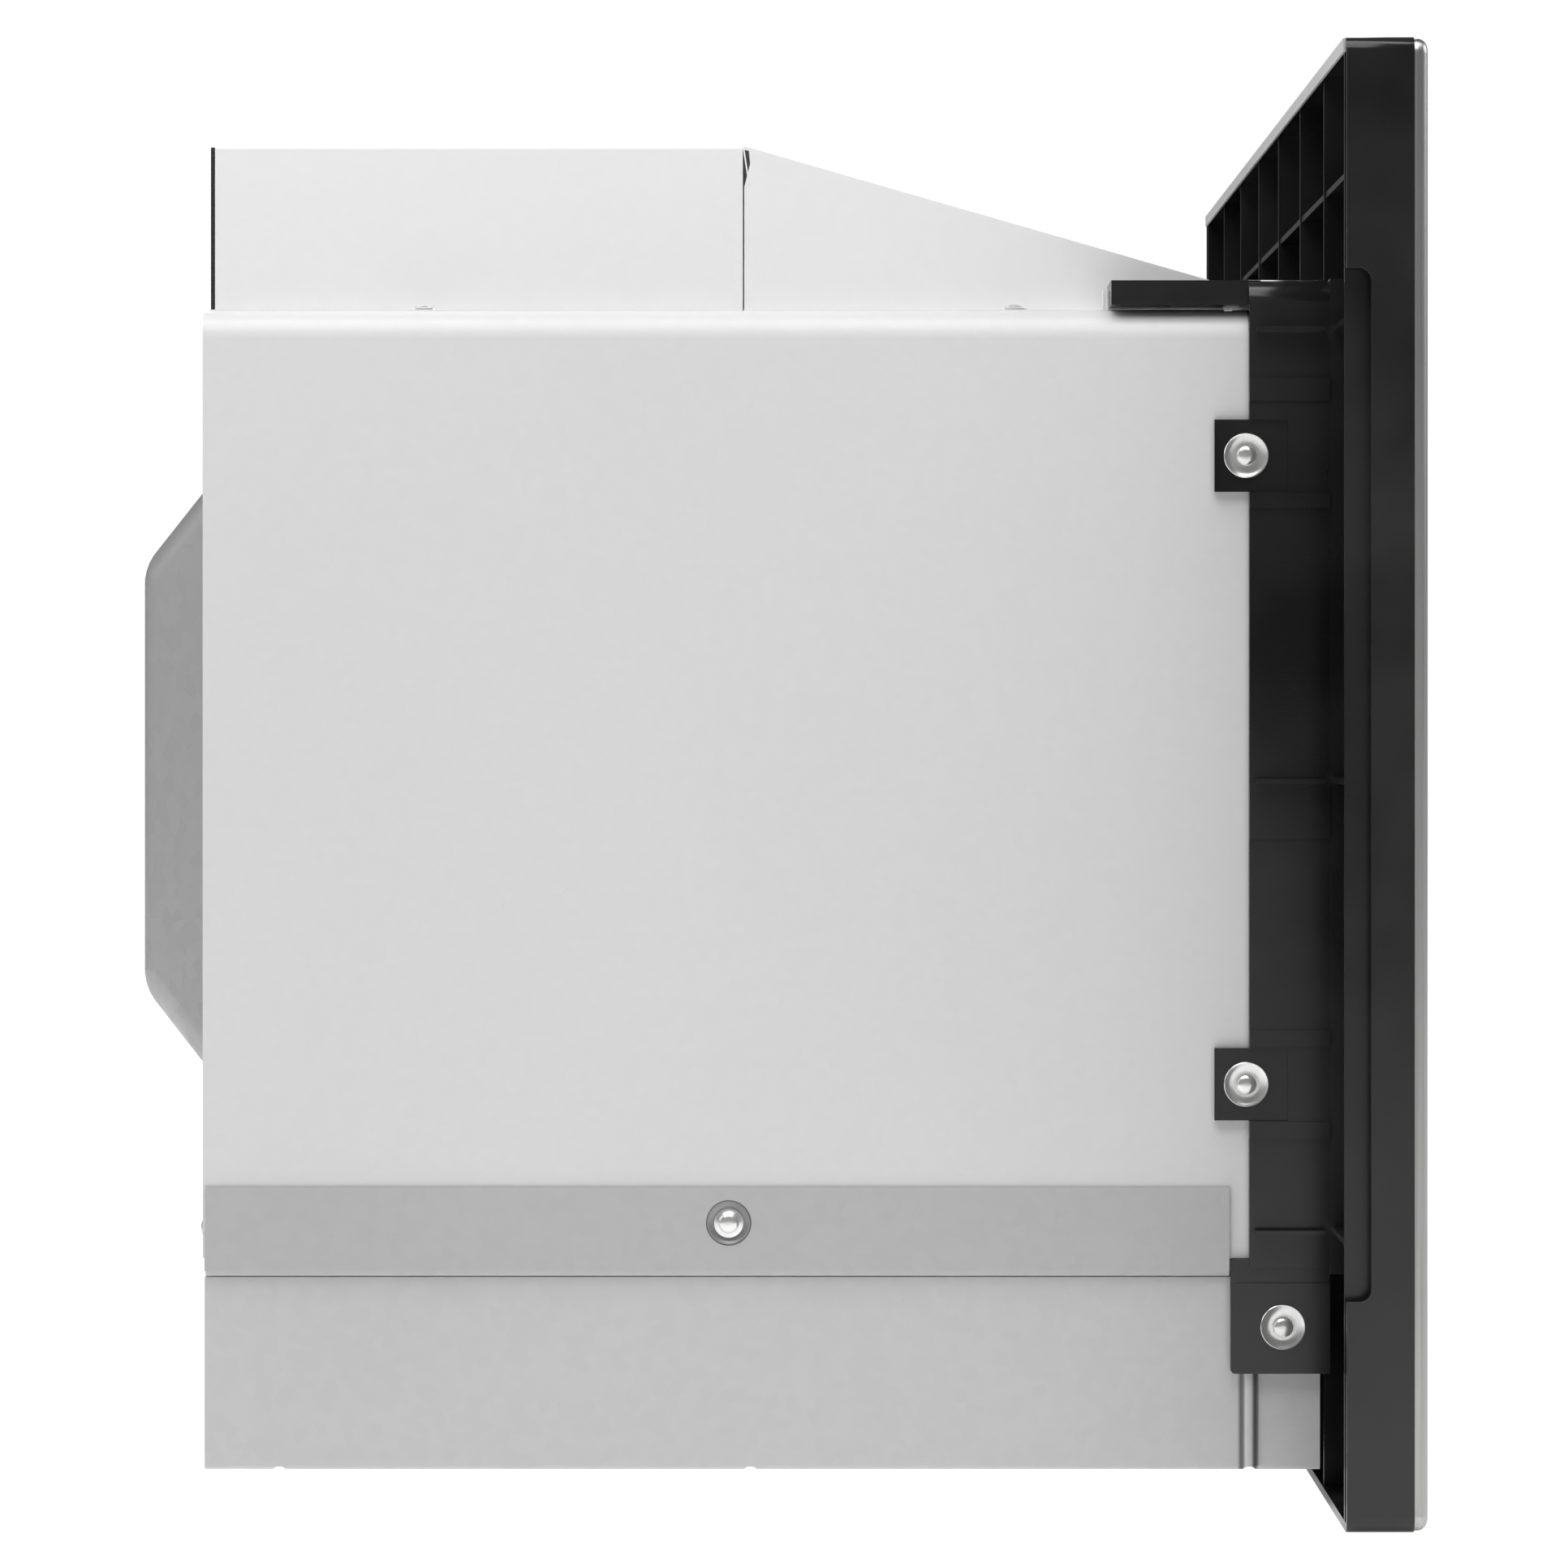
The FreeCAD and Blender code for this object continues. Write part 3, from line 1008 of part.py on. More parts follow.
# The return spring is a plain coil round a post behind the cap.
spring_x, spring_z = fascia_mid, s.button_low + s.button_height / 2
spring_y0, spring_y1 = button_cap_rear + 0.2, plate_front - 3
coil = doc.addObject("Part::Helix", "spring_path")
bind(coil, "Radius", 4.0)
bind(coil, "Pitch", 3.4)
bind(coil, "Height", spring_y1 - spring_y0 - 1.2)
coil.Placement = FreeCAD.Placement(Vector(), AXES["y"])
place(coil, spring_x, spring_y0 + 0.6, spring_z)
wire_ring = doc.addObject("Part::Circle", "spring_wire")
bind(wire_ring, "Radius", 0.5)
wire_ring.Placement = FreeCAD.Placement(Vector(), FreeCAD.Rotation(Vector(1, 0, 0), 0))
place(wire_ring, spring_x + 4.0, spring_y0 + 0.6, spring_z)
swept = doc.addObject("Part::Sweep", "button_spring")
swept.Sections = [wire_ring]
swept.Spine = (coil, [])
swept.Solid = True
swept.Frenet = True
node(swept)

# The latch bracket holds the three interlock switches in line with the hooks.
bracket_x = latch_x + s.latch_width / 2 + 5
latch_plate = block("latch_plate", bracket_x, bracket_x + 3, plate_rear + 0.1, plate_rear + 62, s.hook_low - 22,
                    s.hook_high + 40)
latch_foot = block("latch_foot", bracket_x - 1.5, bracket_x + 3, plate_rear + 0.1, plate_rear + 3, s.hook_low - 22,
                   s.hook_high + 40)
lever_y, lever_z = plate_rear + 6, s.hook_low - 12
lever_pin = rod("lever_pin", "x", bracket_x + 3, lever_y, lever_z, 2.5, 9.0)
latch_window = block("latch_window", bracket_x - 2, bracket_x + 4, plate_rear + 20, plate_rear + 46, s.hook_low + 30,
                     s.hook_high - 20)
finger_window = block("finger_window", bracket_x - 2, bracket_x + 4, lever_y + 5, lever_y + 19, lever_z + 4,
                      lever_z + 18)
node(cut("latch_bracket", fuse("latch_solid", latch_plate, latch_foot, lever_pin), latch_window, finger_window))

switch_bodies = []
for name, z in (("upper", s.hook_high + 1), ("middle", s.hook_high - 28), ("lower", s.hook_low + 1)):
    case = block(f"switch_case_{name}", bracket_x - 7.2, bracket_x - 0.2, hook_end + 3, hook_end + 19, z, z + 15)
    blades = [block(f"switch_blade_{name}_{i}", bracket_x - 6, bracket_x - 1.5, hook_end + 18.5, hook_end + 25,
                    z + 2 + 5 * i, z + 2.8 + 5 * i) for i in range(3)]
    plunger = block(f"switch_plunger_{name}", bracket_x - 5, bracket_x - 3, hook_end + 1.5, hook_end + 3.5, z + 3, z + 7)
    switch_bodies.append(fuse(f"switch_{name}", case, plunger, *blades))
node(group("interlock_switches", *switch_bodies))

lever = Piece("release_lever")
lever_x0, lever_x1 = bracket_x + 3.6, bracket_x + 9
lever_outline = [(-5, -3), (-2, -6), (3, -9), (3, -22), (8, -22), (7, -5), (9, 2), (14, 6), (14, 10), (10, 10),
                 (0, 6), (-5, 4)]
lever.pad("YZ", lever_x0, lever_x1, [(lever_y + y, lever_z + z) for y, z in lever_outline])
lever.pad("YZ", key_x0 - 1, lever_x0 + 1, rect(lever_y + 10, lever_z + 6.2, lever_y + 14, lever_z + 9.8))
lever.pocket("YZ", lever_x0 - 1, lever_x1 + 1, circle(lever_y, lever_z, 2.5 + s.axle_play * 0.6))
node(lever)


# ---------------------------------------------------------------- turntable

roller_z = s.cavity_floor + s.roller_radius + s.roller_play
tray_low = roller_z + s.roller_radius + s.roller_play
tray = Piece("glass_tray")
sketch = tray._sketch("XZ", 0.0 * s.table_y, [[
    (0.0, tray_low), (s.tray_radius - 26, tray_low), (s.tray_radius - 4, tray_low + s.tray_rise - s.tray_thick - 1),
    (s.tray_radius, tray_low + s.tray_rise - 2), (s.tray_radius, tray_low + s.tray_rise),
    (s.tray_radius - 6, tray_low + s.tray_rise - 1), (s.tray_radius - 28, tray_low + s.tray_thick),
    (0.0, tray_low + s.tray_thick),
]])
spun = tray.body.newObject("PartDesign::Revolution", "glass_tray_revolution")
spun.Profile = sketch
spun.ReferenceAxis = (sketch, ["V_Axis"])
spun.Angle = 360
lug_turns = [math.radians(120 * i + 90) for i in range(3)]
tray.pad("XY", tray_low - 3, tray_low + 1,
         *[circle(s.lug_reach * math.cos(a), s.lug_reach * math.sin(a), 3.0) for a in lug_turns])
place(tray.body, table_x, s.table_y, 0.0)
node(tray)

ring_low = roller_z - 2.5
ring_solid = rod("ring_outer_form", "z", table_x, s.table_y, ring_low, s.ring_outer, 5.0)
ring_hole = rod("ring_inner_form", "z", table_x, s.table_y, ring_low - 1, s.ring_inner, 7.0)
ROLLERS = 3
stubs, wheels = [], []
for i in range(ROLLERS):
    turn = 360.0 * i / ROLLERS + 90
    along = Vector(math.cos(math.radians(turn)), math.sin(math.radians(turn)), 0)
    facing = FreeCAD.Rotation(Vector(0, 0, 1), along)

    def radial(label, radius, start, length):
        """A cylinder along the radius at this roller, from a distance off the table's axis."""
        stub = doc.addObject("Part::Cylinder", label)
        bind(stub, "Radius", radius)
        bind(stub, "Height", length)
        stub.Placement = FreeCAD.Placement(Vector(), facing)
        return place(stub, table_x + start * along.x, s.table_y + start * along.y, roller_z)

    wheel_start = s.roller_circle - s.roller_width / 2
    stubs.append(radial(f"axle_stub_{i}", s.axle_radius, s.ring_outer - 2, wheel_start + s.roller_width + 1 - s.ring_outer + 2))
    stubs.append(radial(f"axle_head_{i}", s.axle_radius + 0.9, wheel_start + s.roller_width + 0.5, 1.5 * s.axle_radius / 1.6))
    tread = radial(f"roller_tread_{i}", s.roller_radius, wheel_start, s.roller_width)
    bore = radial(f"roller_bore_{i}", s.axle_radius + s.axle_play, wheel_start - 1, s.roller_width + 2)
    wheels.append(cut(f"roller_{i + 1}", tread, bore))
node(cut("roller_ring", fuse("ring_solid", ring_solid, *stubs), ring_hole))
for wheel in wheels:
    node(wheel)

# The motor's coupler is a three-lobed knob in the floor's hole, under the tray.
motor_low = s.cavity_floor - liner_sheet - s.motor_height - 1
coupler_low = s.cavity_floor - 2
s.coupler_height = tray_low - s.coupler_play - coupler_low
coupler_parts = [rod("coupler_hub", "z", table_x, s.table_y, coupler_low, s.coupler_radius * 0.6, s.coupler_height)]
for i in range(3):
    turn = math.radians(120 * i + 30)
    reach = s.coupler_radius * 0.58
    coupler_parts.append(rod(f"coupler_lobe_{i}", "z", table_x + reach * math.cos(turn), s.table_y + reach * math.sin(turn),
                             coupler_low, s.coupler_radius * 0.36, s.coupler_height))
shaft_radius = 2.6
coupler_bore = rod("coupler_bore", "z", table_x, s.table_y, coupler_low - 1, shaft_radius + 0.05, 7.0)
node(cut("turntable_coupler", fuse("coupler_solid", *coupler_parts), coupler_bore))
motor_parts = [
    rod("motor_can", "z", table_x, s.table_y, motor_low, s.motor_radius, s.motor_height),
    rod("motor_shaft", "z", table_x, s.table_y, motor_low + s.motor_height - 1, shaft_radius,
        coupler_low + 5 - motor_low - s.motor_height + 1),
    block("motor_terminals", table_x + s.motor_radius - 3, table_x + s.motor_radius + 9, s.table_y - 7,
          s.table_y + 7, motor_low + 2, motor_low + s.motor_height - 4),
    block("motor_ears", table_x - 30, table_x + 30, s.table_y - 5, s.table_y + 5,
          motor_low + s.motor_height - 1.2, motor_low + s.motor_height),
]
node(fuse("turntable_motor", *motor_parts))


# ---------------------------------------------------------------- microwave source and cooling

bay_left = s.cavity_right + liner_sheet
wave_y0, wave_y1 = wave_mid_y - s.wave_length / 2, wave_mid_y + s.wave_length / 2
wave_z0, wave_z1 = wave_mid_z - s.wave_height / 2, wave_mid_z + s.wave_height / 2
node(block("waveguide_cover", s.cavity_right - 0.9, s.cavity_right - 0.1, wave_mid_y - s.wave_length / 4 - 10,
           wave_mid_y + s.wave_length / 4 + 10, wave_mid_z - s.wave_height / 3 - 10, wave_mid_z + s.wave_height / 3 + 10))

wave_right = bay_left + s.wave_depth
wave = Piece("waveguide")
wave.pad("YZ", bay_left + 0.05, wave_right, rect(wave_y0, wave_z0, wave_y1, wave_z1))
wave.pad("YZ", bay_left + 0.05, bay_left + 1.2, rect(wave_y0 - 9, wave_z0 - 9, wave_y1 + 9, wave_z1 + 9))
wave.pocket("YZ", bay_left - 1, wave_right - 1.2, rect(wave_y0 + 1.2, wave_z0 + 1.2, wave_y1 - 1.2, wave_z1 - 1.2))
antenna_y = wave_y1 - 45
wave.pocket("YZ", wave_right - 3, wave_right + 1, circle(antenna_y, wave_mid_z, 14.0))
node(wave)

tube_left = wave_right + 0.3
tube_right = tube_left + s.magnetron_depth
yoke_y0, yoke_y1 = antenna_y - s.magnetron_width / 2, antenna_y + s.magnetron_width / 2
yoke_z0, yoke_z1 = wave_mid_z - s.magnetron_height / 2, wave_mid_z + s.magnetron_height / 2
yoke = Piece("magnetron_yoke")
yoke.pad("XZ", yoke_y0, yoke_y1, rect(tube_left, yoke_z0, tube_right, yoke_z1))
yoke.pocket("XZ", yoke_y0 - 1, yoke_y1 + 1, rect(tube_left + 2, yoke_z0 + 2, tube_right - 2, yoke_z1 - 2))
yoke.pocket("YZ", tube_left - 1, tube_left + 3, circle(antenna_y, wave_mid_z, 16.0))
node(yoke)

core_parts = [
    rod("anode", "x", tube_left + 2.4, antenna_y, wave_mid_z, 19.0, s.magnetron_depth - 4.8),
    rod("antenna_stem", "x", wave_right - 14, antenna_y, wave_mid_z, 9.0, 17.0),
    rod("antenna_cap", "x", wave_right - 20, antenna_y, wave_mid_z, 7.5, 7.0),
]
node(fuse("magnetron_tube", *core_parts))
fins = []
for i in range(6):
    at = tube_left + 12 + 8 * i
    fin = block(f"fin_blank_{i}", at, at + 0.8, yoke_y0 + 3, yoke_y1 - 3, yoke_z0 + 4, yoke_z1 - 4)
    eye = rod(f"fin_eye_{i}", "x", at - 1, antenna_y, wave_mid_z, 19.1, 3.0)
    fins.append(cut(f"fin_{i}", fin, eye))
node(group("magnetron_fins", *fins))

core_x0, core_y0, core_z0 = s.cavity_right + 66, s.table_y - 127.5, floor_top + 0.1
core_outer = block("core_outer", core_x0, core_x0 + 100, core_y0, core_y0 + 62, core_z0, core_z0 + 84)
core_windows = [block(f"core_window_{i}", core_x0 + x, core_x0 + x + 20, core_y0 - 1, core_y0 + 63,
                      core_z0 + 16, core_z0 + 68) for i, x in enumerate((14, 66))]
node(cut("transformer_core", core_outer, *core_windows))
coils = []
for name, z0, rise in (("primary", 18.0, 22.0), ("secondary", 43.0, 23.0)):
    outer = block(f"coil_{name}_outer", core_x0 + 16, core_x0 + 84, core_y0 - 14, core_y0 + 76, core_z0 + z0, core_z0 + z0 + rise)
    soft = rounded(f"coil_{name}_soft", outer, 9.0, runs_along("z"))
    hole = block(f"coil_{name}_hole", core_x0 + 33, core_x0 + 67, core_y0 - 1, core_y0 + 63, core_z0 + z0 - 1,
                 core_z0 + z0 + rise + 1)
    coils.append(cut(f"coil_{name}", soft, hole))
node(group("transformer_windings", *coils))

can = rounded("capacitor_can", block("capacitor_form", s.cavity_right + 14, s.cavity_right + 46, panel_front - 126,
                                     panel_front - 34, floor_top + 0.1, floor_top + 52),
              15.0, runs_along("z"))
terminals = [block(f"capacitor_blade_{i}", s.cavity_right + 26, s.cavity_right + 34, panel_front - 102 + 40 * i,
                   panel_front - 101 + 40 * i, floor_top + 51, floor_top + 60)
             for i in range(2)]
node(fuse("hv_capacitor", can, *terminals))

# The cooling fan draws through the rear grille: a shroud, a shaded-pole motor and a six-blade rotor.
shroud_front, shroud_rear = panel_front - 34, panel_front - 0.3
shroud_size = s.fan_radius + 9
shroud = Piece("fan_shroud")
shroud.pad("XZ", shroud_front, shroud_rear, rect(s.fan_x - shroud_size, s.fan_z - shroud_size,
                                                 s.fan_x + shroud_size, s.fan_z + shroud_size))
shroud.fillet(12.0, runs_along("y"))
shroud.pocket("XZ", shroud_front - 1, shroud_rear + 1, circle(s.fan_x, s.fan_z, s.fan_radius + 3))
node(shroud)
motor_y0 = shroud_front - 42
fan_motor_parts = [
    block("stack", s.fan_x - 28, s.fan_x + 28, motor_y0 + 10, motor_y0 + 28, s.fan_z - 22, s.fan_z + 40),
    rod("fan_bearing", "y", s.fan_x, motor_y0 + 4, s.fan_z, 14.0, 30.0),
    rod("fan_shaft", "y", s.fan_x, motor_y0, s.fan_z, 2.0, 58.0),
    block("bobbin", s.fan_x - 20, s.fan_x + 20, motor_y0 + 3, motor_y0 + 35, s.fan_z + 24, s.fan_z + 38),
    block("motor_bridge", s.fan_x - shroud_size, s.fan_x + shroud_size, motor_y0 + 14, motor_y0 + 17,
          s.fan_z - 9, s.fan_z + 9),
    block("bridge_leg_left", s.fan_x - shroud_size, s.fan_x - shroud_size + 3, motor_y0 + 14, shroud_front,
          s.fan_z - 9, s.fan_z + 9),
    block("bridge_leg_right", s.fan_x + shroud_size - 3, s.fan_x + shroud_size, motor_y0 + 14, shroud_front,
          s.fan_z - 9, s.fan_z + 9),
]
node(fuse("fan_motor", *fan_motor_parts))
blade_y = shroud_front + 6
hub = rod("fan_hub", "y", s.fan_x, blade_y, s.fan_z, 13.0, 16.0)
blades = []
BLADES = 6
for i in range(BLADES):
    blade = doc.addObject("Part::Box", f"blade_{i}")
    bind(blade, "Length", s.fan_radius - 10)
    bind(blade, "Width", 1.4)
    bind(blade, "Height", 24.0)
    spin = FreeCAD.Rotation(Vector(0, 1, 0), 360 / BLADES * i)
    pitch = FreeCAD.Rotation(Vector(1, 0, 0), 52)
    turn = spin.multiply(pitch)
    blade.Placement = FreeCAD.Placement(Vector(), turn)
    root = turn.multVec(Vector(9.0, 0, -12.0))
    blades.append(place(blade, s.fan_x + root.x, blade_y + 8 + root.y, s.fan_z + root.z))
fan_bore = rod("fan_bore", "y", s.fan_x, blade_y - 1, s.fan_z, 2.06, 18.0)
node(cut("fan_blade", fuse("fan_solid", hub, *blades), fan_bore))

filter_x, filter_y, filter_z = s.cavity_right + 38, panel_front - 146, s.body_top - 23
filter_parts = [
    block("filter_sheet", filter_x, filter_x + 120, filter_y, filter_y + 80, filter_z, filter_z + 1.6),
    block("filter_choke", filter_x + 12, filter_x + 40, filter_y + 12, filter_y + 42, filter_z - 18, filter_z),
    block("filter_fuse", filter_x + 56, filter_x + 96, filter_y + 20, filter_y + 28, filter_z - 8, filter_z),
    rod("filter_cap", "z", filter_x + 80, filter_y + 58, filter_z - 14, 8.0, 14.0),
]
node(fuse("noise_filter_board", *filter_parts))

node(fuse("cavity_lamp", rod("lamp_bulb", "x", bay_left + 6, lamp_y, lamp_z, 9.0, 22.0),
          rod("lamp_neck", "x", bay_left + 27, lamp_y, lamp_z, 6.0, 10.0)))
node(cut("lamp_holder", block("lamp_socket", bay_left + 0.1, bay_left + 46, lamp_y - 14, lamp_y + 14, lamp_z - 14, lamp_z + 14),
         block("lamp_space", bay_left - 1, bay_left + 44, lamp_y - 11, lamp_y + 11, lamp_z - 11, lamp_z + 15)))
node(fuse("thermal_cutout", rod("cutout_disc", "z", -40.0, 60.0, s.cavity_top + liner_sheet + 0.1, 8.0, 7.0),
          block("cutout_ear", -53.0, -27.0, 56.0, 64.0, s.cavity_top + liner_sheet + 0.1, s.cavity_top + liner_sheet + 1.2)))

gland_y0 = panel_front - 7
gland_body = rod("gland_body", "y", s.gland_x, gland_y0, s.gland_z, s.gland_radius - 0.1, 16.0)
gland_flange = rod("gland_flange", "y", s.gland_x, panel_rear + 0.1, s.gland_z, s.gland_radius + 3, 4.0)
gland_bore = rod("gland_hole_form", "y", s.gland_x, gland_y0 - 1, s.gland_z, s.gland_bore, 24.0)
node(cut("cord_gland", fuse("gland_solid", gland_body, gland_flange), gland_bore))


# ---------------------------------------------------------------- fasteners

def pan_screw(label, axis, outward, x, y, z, wide=False):
    """A cross-recessed screw whose head sits on the point given, outward being +1 or -1 along the axis."""
    radius = s.flange_head_radius if wide else s.head_radius
    here = {"x": x, "y": y, "z": z}

    def stack(part, r, start, length):
        low = here[axis] + start * outward if outward > 0 else here[axis] - (start + length)
        spot = dict(here)
        spot[axis] = low
        return rod(f"{label}_{part}", axis, spot["x"], spot["y"], spot["z"], r, length)

    solids = [stack("head", s.head_radius, 0.0 * s.head_height, s.head_height)]
    if wide:
        solids.append(stack("rim", radius, 0.0 * s.head_height, s.head_height * 0.4))
    shank = stack("shank", s.shank_radius, -s.shank_length, s.shank_length + 0.5)
    solids.append(shank)
    arms = []
    for first, second in ((s.cross_width, 4.4), (4.4, s.cross_width)):
        low = here[axis] + (s.head_height - s.cross_depth) * outward
        high = here[axis] + (s.head_height + 1) * outward
        ends = (low, high) if outward > 0 else (high, low)
        others = [name for name in "xyz" if name != axis]
        limits = {axis: ends}
        limits[others[0]] = (here[others[0]] - first / 2, here[others[0]] + first / 2)
        limits[others[1]] = (here[others[1]] - second / 2, here[others[1]] + second / 2)
        arms.append(block(f"{label}_cross{len(arms)}", *limits["x"], *limits["y"], *limits["z"]))
    return cut(label, fuse(f"{label}_solid", *solids), *arms)


screws, washers = [], []
for side, name in SIDES:
    for level, y, z, seat in (("upper", screw_y, s.tab_upper, tab_out), ("lower", screw_y, s.tab_lower, tab_out),
                              ("bracket", bracket_y, s.bracket_screw_z, bracket_out)):
        head = (seat + s.washer_thick) * side
        screws.append(pan_screw(f"collar_screw_{name}_{level}", "x", side, head, y, z))
        low, _ = span(side, seat, seat + s.washer_thick)
        ring = rod(f"washer_form_{name}_{level}", "x", low, y, z, s.washer_radius, s.washer_thick)
        eye = rod(f"washer_eye_{name}_{level}", "x", low - 1, y, z, s.hole_radius, s.washer_thick + 2)
        washers.append(cut(f"washer_{name}_{level}", ring, eye))
node(group("collar_screws", *screws))
node(group("collar_washers", *washers))
node(group("duct_screws", *[
    pan_screw(f"duct_screw_{name}_{i}", "z", 1, duct_screw_x * side, y, s.body_top + s.duct_sheet, wide=True)
    for side, name in SIDES for i, y in enumerate(duct_screws_y)]))
node(group("base_screws", *[
    pan_screw(f"base_screw_{name}", "x", side, (flange_out - s.dimple_depth) * side, base_screw[0], base_screw[1], wide=True)
    for side, name in SIDES]))
node(group("rear_screws", *[
    pan_screw(f"rear_screw_{name}", "y", 1, rear_screw[0] * side, panel_rear, rear_screw[1], wide=True)
    for side, name in SIDES]))


# ---------------------------------------------------------------- checks and STEP files

doc.recompute()
faults = [f"{thing.Label}: {thing.State}" for thing in doc.Objects if {"Invalid", "Error"} & set(thing.State)]
for piece in NODES:
    shape = piece.Shape
    if shape.isNull() or not shape.isValid() or not shape.Solids or shape.Volume <= 0:
        faults.append(f"{piece.Label}: no valid solid")
if faults:
    raise RuntimeError("; ".join(faults))
os.makedirs("parts", exist_ok=True)
for piece in NODES:
    piece.Shape.exportStep(os.path.join("parts", f"{piece.Label}.step"))
print(len(NODES), "pieces written")
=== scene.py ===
"""A built-in microwave oven with a broad front trim: finishes, small pieces, light and camera."""

import math

import bmesh
import bpy
from mathutils import Matrix, Vector


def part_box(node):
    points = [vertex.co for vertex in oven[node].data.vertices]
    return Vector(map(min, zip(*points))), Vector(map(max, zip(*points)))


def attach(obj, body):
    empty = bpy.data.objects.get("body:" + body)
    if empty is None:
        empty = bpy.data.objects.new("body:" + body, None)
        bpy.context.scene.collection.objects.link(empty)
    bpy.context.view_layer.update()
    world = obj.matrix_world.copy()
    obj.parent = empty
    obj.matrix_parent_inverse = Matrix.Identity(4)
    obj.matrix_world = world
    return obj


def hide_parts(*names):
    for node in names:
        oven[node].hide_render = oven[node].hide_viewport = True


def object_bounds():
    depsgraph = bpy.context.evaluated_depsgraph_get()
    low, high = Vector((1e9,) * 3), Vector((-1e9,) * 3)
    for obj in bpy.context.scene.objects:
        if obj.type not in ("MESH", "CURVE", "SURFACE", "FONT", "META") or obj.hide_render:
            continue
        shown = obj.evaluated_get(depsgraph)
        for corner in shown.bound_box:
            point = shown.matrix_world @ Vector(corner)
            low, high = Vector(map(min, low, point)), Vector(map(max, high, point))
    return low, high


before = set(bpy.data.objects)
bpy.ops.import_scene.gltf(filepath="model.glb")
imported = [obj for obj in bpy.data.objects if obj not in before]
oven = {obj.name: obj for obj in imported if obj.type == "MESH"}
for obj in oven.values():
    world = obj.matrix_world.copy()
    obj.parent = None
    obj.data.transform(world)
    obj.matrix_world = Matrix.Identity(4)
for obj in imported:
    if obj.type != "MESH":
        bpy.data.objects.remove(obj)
cad_box = [list(corner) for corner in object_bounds()]


# ---------------------------------------------------------------- camera, floor and light
# A long lens looks at the oven's left side from a little over two metres, level with its middle.
# The floor is a pale sheet just under the trim's lower edge.

camera = bpy.data.objects.new("side_camera", bpy.data.cameras.new("side_camera"))
bpy.context.scene.collection.objects.link(camera)
camera.location = (-2.418, -0.022, 0.256)
camera.rotation_euler = (math.radians(90), 0, math.radians(-90))
camera.data.sensor_width = 36
camera.data.lens = 144.7
camera.data.shift_x = -0.02795
camera.data.shift_y = -0.0497
camera.data.clip_start, camera.data.clip_end = 0.05, 60
bpy.context.scene.camera = camera

floor_form = bmesh.new()
floor_z = cad_box[0][2] - 0.0004
bmesh.ops.create_grid(floor_form, x_segments=1, y_segments=1, size=9, matrix=Matrix.Translation((0, 0, floor_z)))
floor_mesh = bpy.data.meshes.new("studio_floor")
floor_form.to_mesh(floor_mesh)
floor_form.free()
studio_floor = bpy.data.objects.new("studio_floor", floor_mesh)
bpy.context.scene.collection.objects.link(studio_floor)
paper = bpy.data.materials.new("studio_paper")
paper.use_nodes = True
paper_shader = paper.node_tree.nodes["Principled BSDF"]
paper_shader.inputs["Base Color"].default_value = (0.86, 0.86, 0.86, 1)
paper_shader.inputs["Roughness"].default_value = 0.9
paper_shader.inputs["Emission Color"].default_value = (1, 1, 1, 1)
paper_ray = paper.node_tree.nodes.new("ShaderNodeLightPath")
paper_lift = paper.node_tree.nodes.new("ShaderNodeMath")
paper_lift.operation = "MULTIPLY_ADD"
paper_lift.inputs[1].default_value = 0.62
paper_lift.inputs[2].default_value = 0.34
paper.node_tree.links.new(paper_ray.outputs["Is Camera Ray"], paper_lift.inputs[0])
paper.node_tree.links.new(paper_lift.outputs[0], paper_shader.inputs["Emission Strength"])
floor_mesh.materials.append(paper)

sky = bpy.data.worlds.new("studio_sky")
bpy.context.scene.world = sky
sky.use_nodes = True
room = sky.node_tree.nodes["Background"]
room.inputs["Color"].default_value = (1, 1, 1, 1)
room.inputs["Strength"].default_value = 0.11
backdrop = sky.node_tree.nodes.new("ShaderNodeBackground")
backdrop.inputs["Color"].default_value = (1, 1, 1, 1)
backdrop.inputs["Strength"].default_value = 1.02
sky_ray = sky.node_tree.nodes.new("ShaderNodeLightPath")
sky_mix = sky.node_tree.nodes.new("ShaderNodeMixShader")
sky.node_tree.links.new(sky_ray.outputs["Is Camera Ray"], sky_mix.inputs[0])
sky.node_tree.links.new(room.outputs[0], sky_mix.inputs[1])
sky.node_tree.links.new(backdrop.outputs[0], sky_mix.inputs[2])
sky.node_tree.links.new(sky_mix.outputs[0], sky.node_tree.nodes["World Output"].inputs["Surface"])


def soft_light(name, place, aim, width, height, power):
    """A soft box turned to face a point."""
    lamp = bpy.data.lights.new(name, "AREA")
    lamp.shape = "RECTANGLE"
    lamp.size, lamp.size_y, lamp.energy = width, height, power
    holder = bpy.data.objects.new(name, lamp)
    bpy.context.scene.collection.objects.link(holder)
    holder.location = place
    holder.rotation_euler = (Vector(aim) - Vector(place)).to_track_quat("-Z", "Y").to_euler()


soft_light("key_box", (-1.2, 0.15, 1.7), (-0.3, 0, 0.3), 2.0, 1.0, 18)
soft_light("edge_strip", (-0.55, 0.0, 1.6), (-0.3, 0, 0.35), 2.2, 0.35, 9)
soft_light("front_box", (0.3, -2.6, 1.5), (0, -0.2, 0.2), 1.8, 1.6, 22)
soft_light("rear_box", (0.0, 2.6, 1.5), (0, 0.2, 0.25), 1.8, 1.6, 16)
soft_light("far_box", (2.4, 0.2, 1.7), (0.2, 0, 0.25), 1.6, 1.6, 18)
bpy.context.scene.view_settings.view_transform = "Standard"


# ---------------------------------------------------------------- cabinet wrapper
# One pre-coated steel sheet folded over the top and down both sides, with a wide bend at each corner.
# Its coating has a faint orange peel, and the zinc below shows as a very soft mottle.


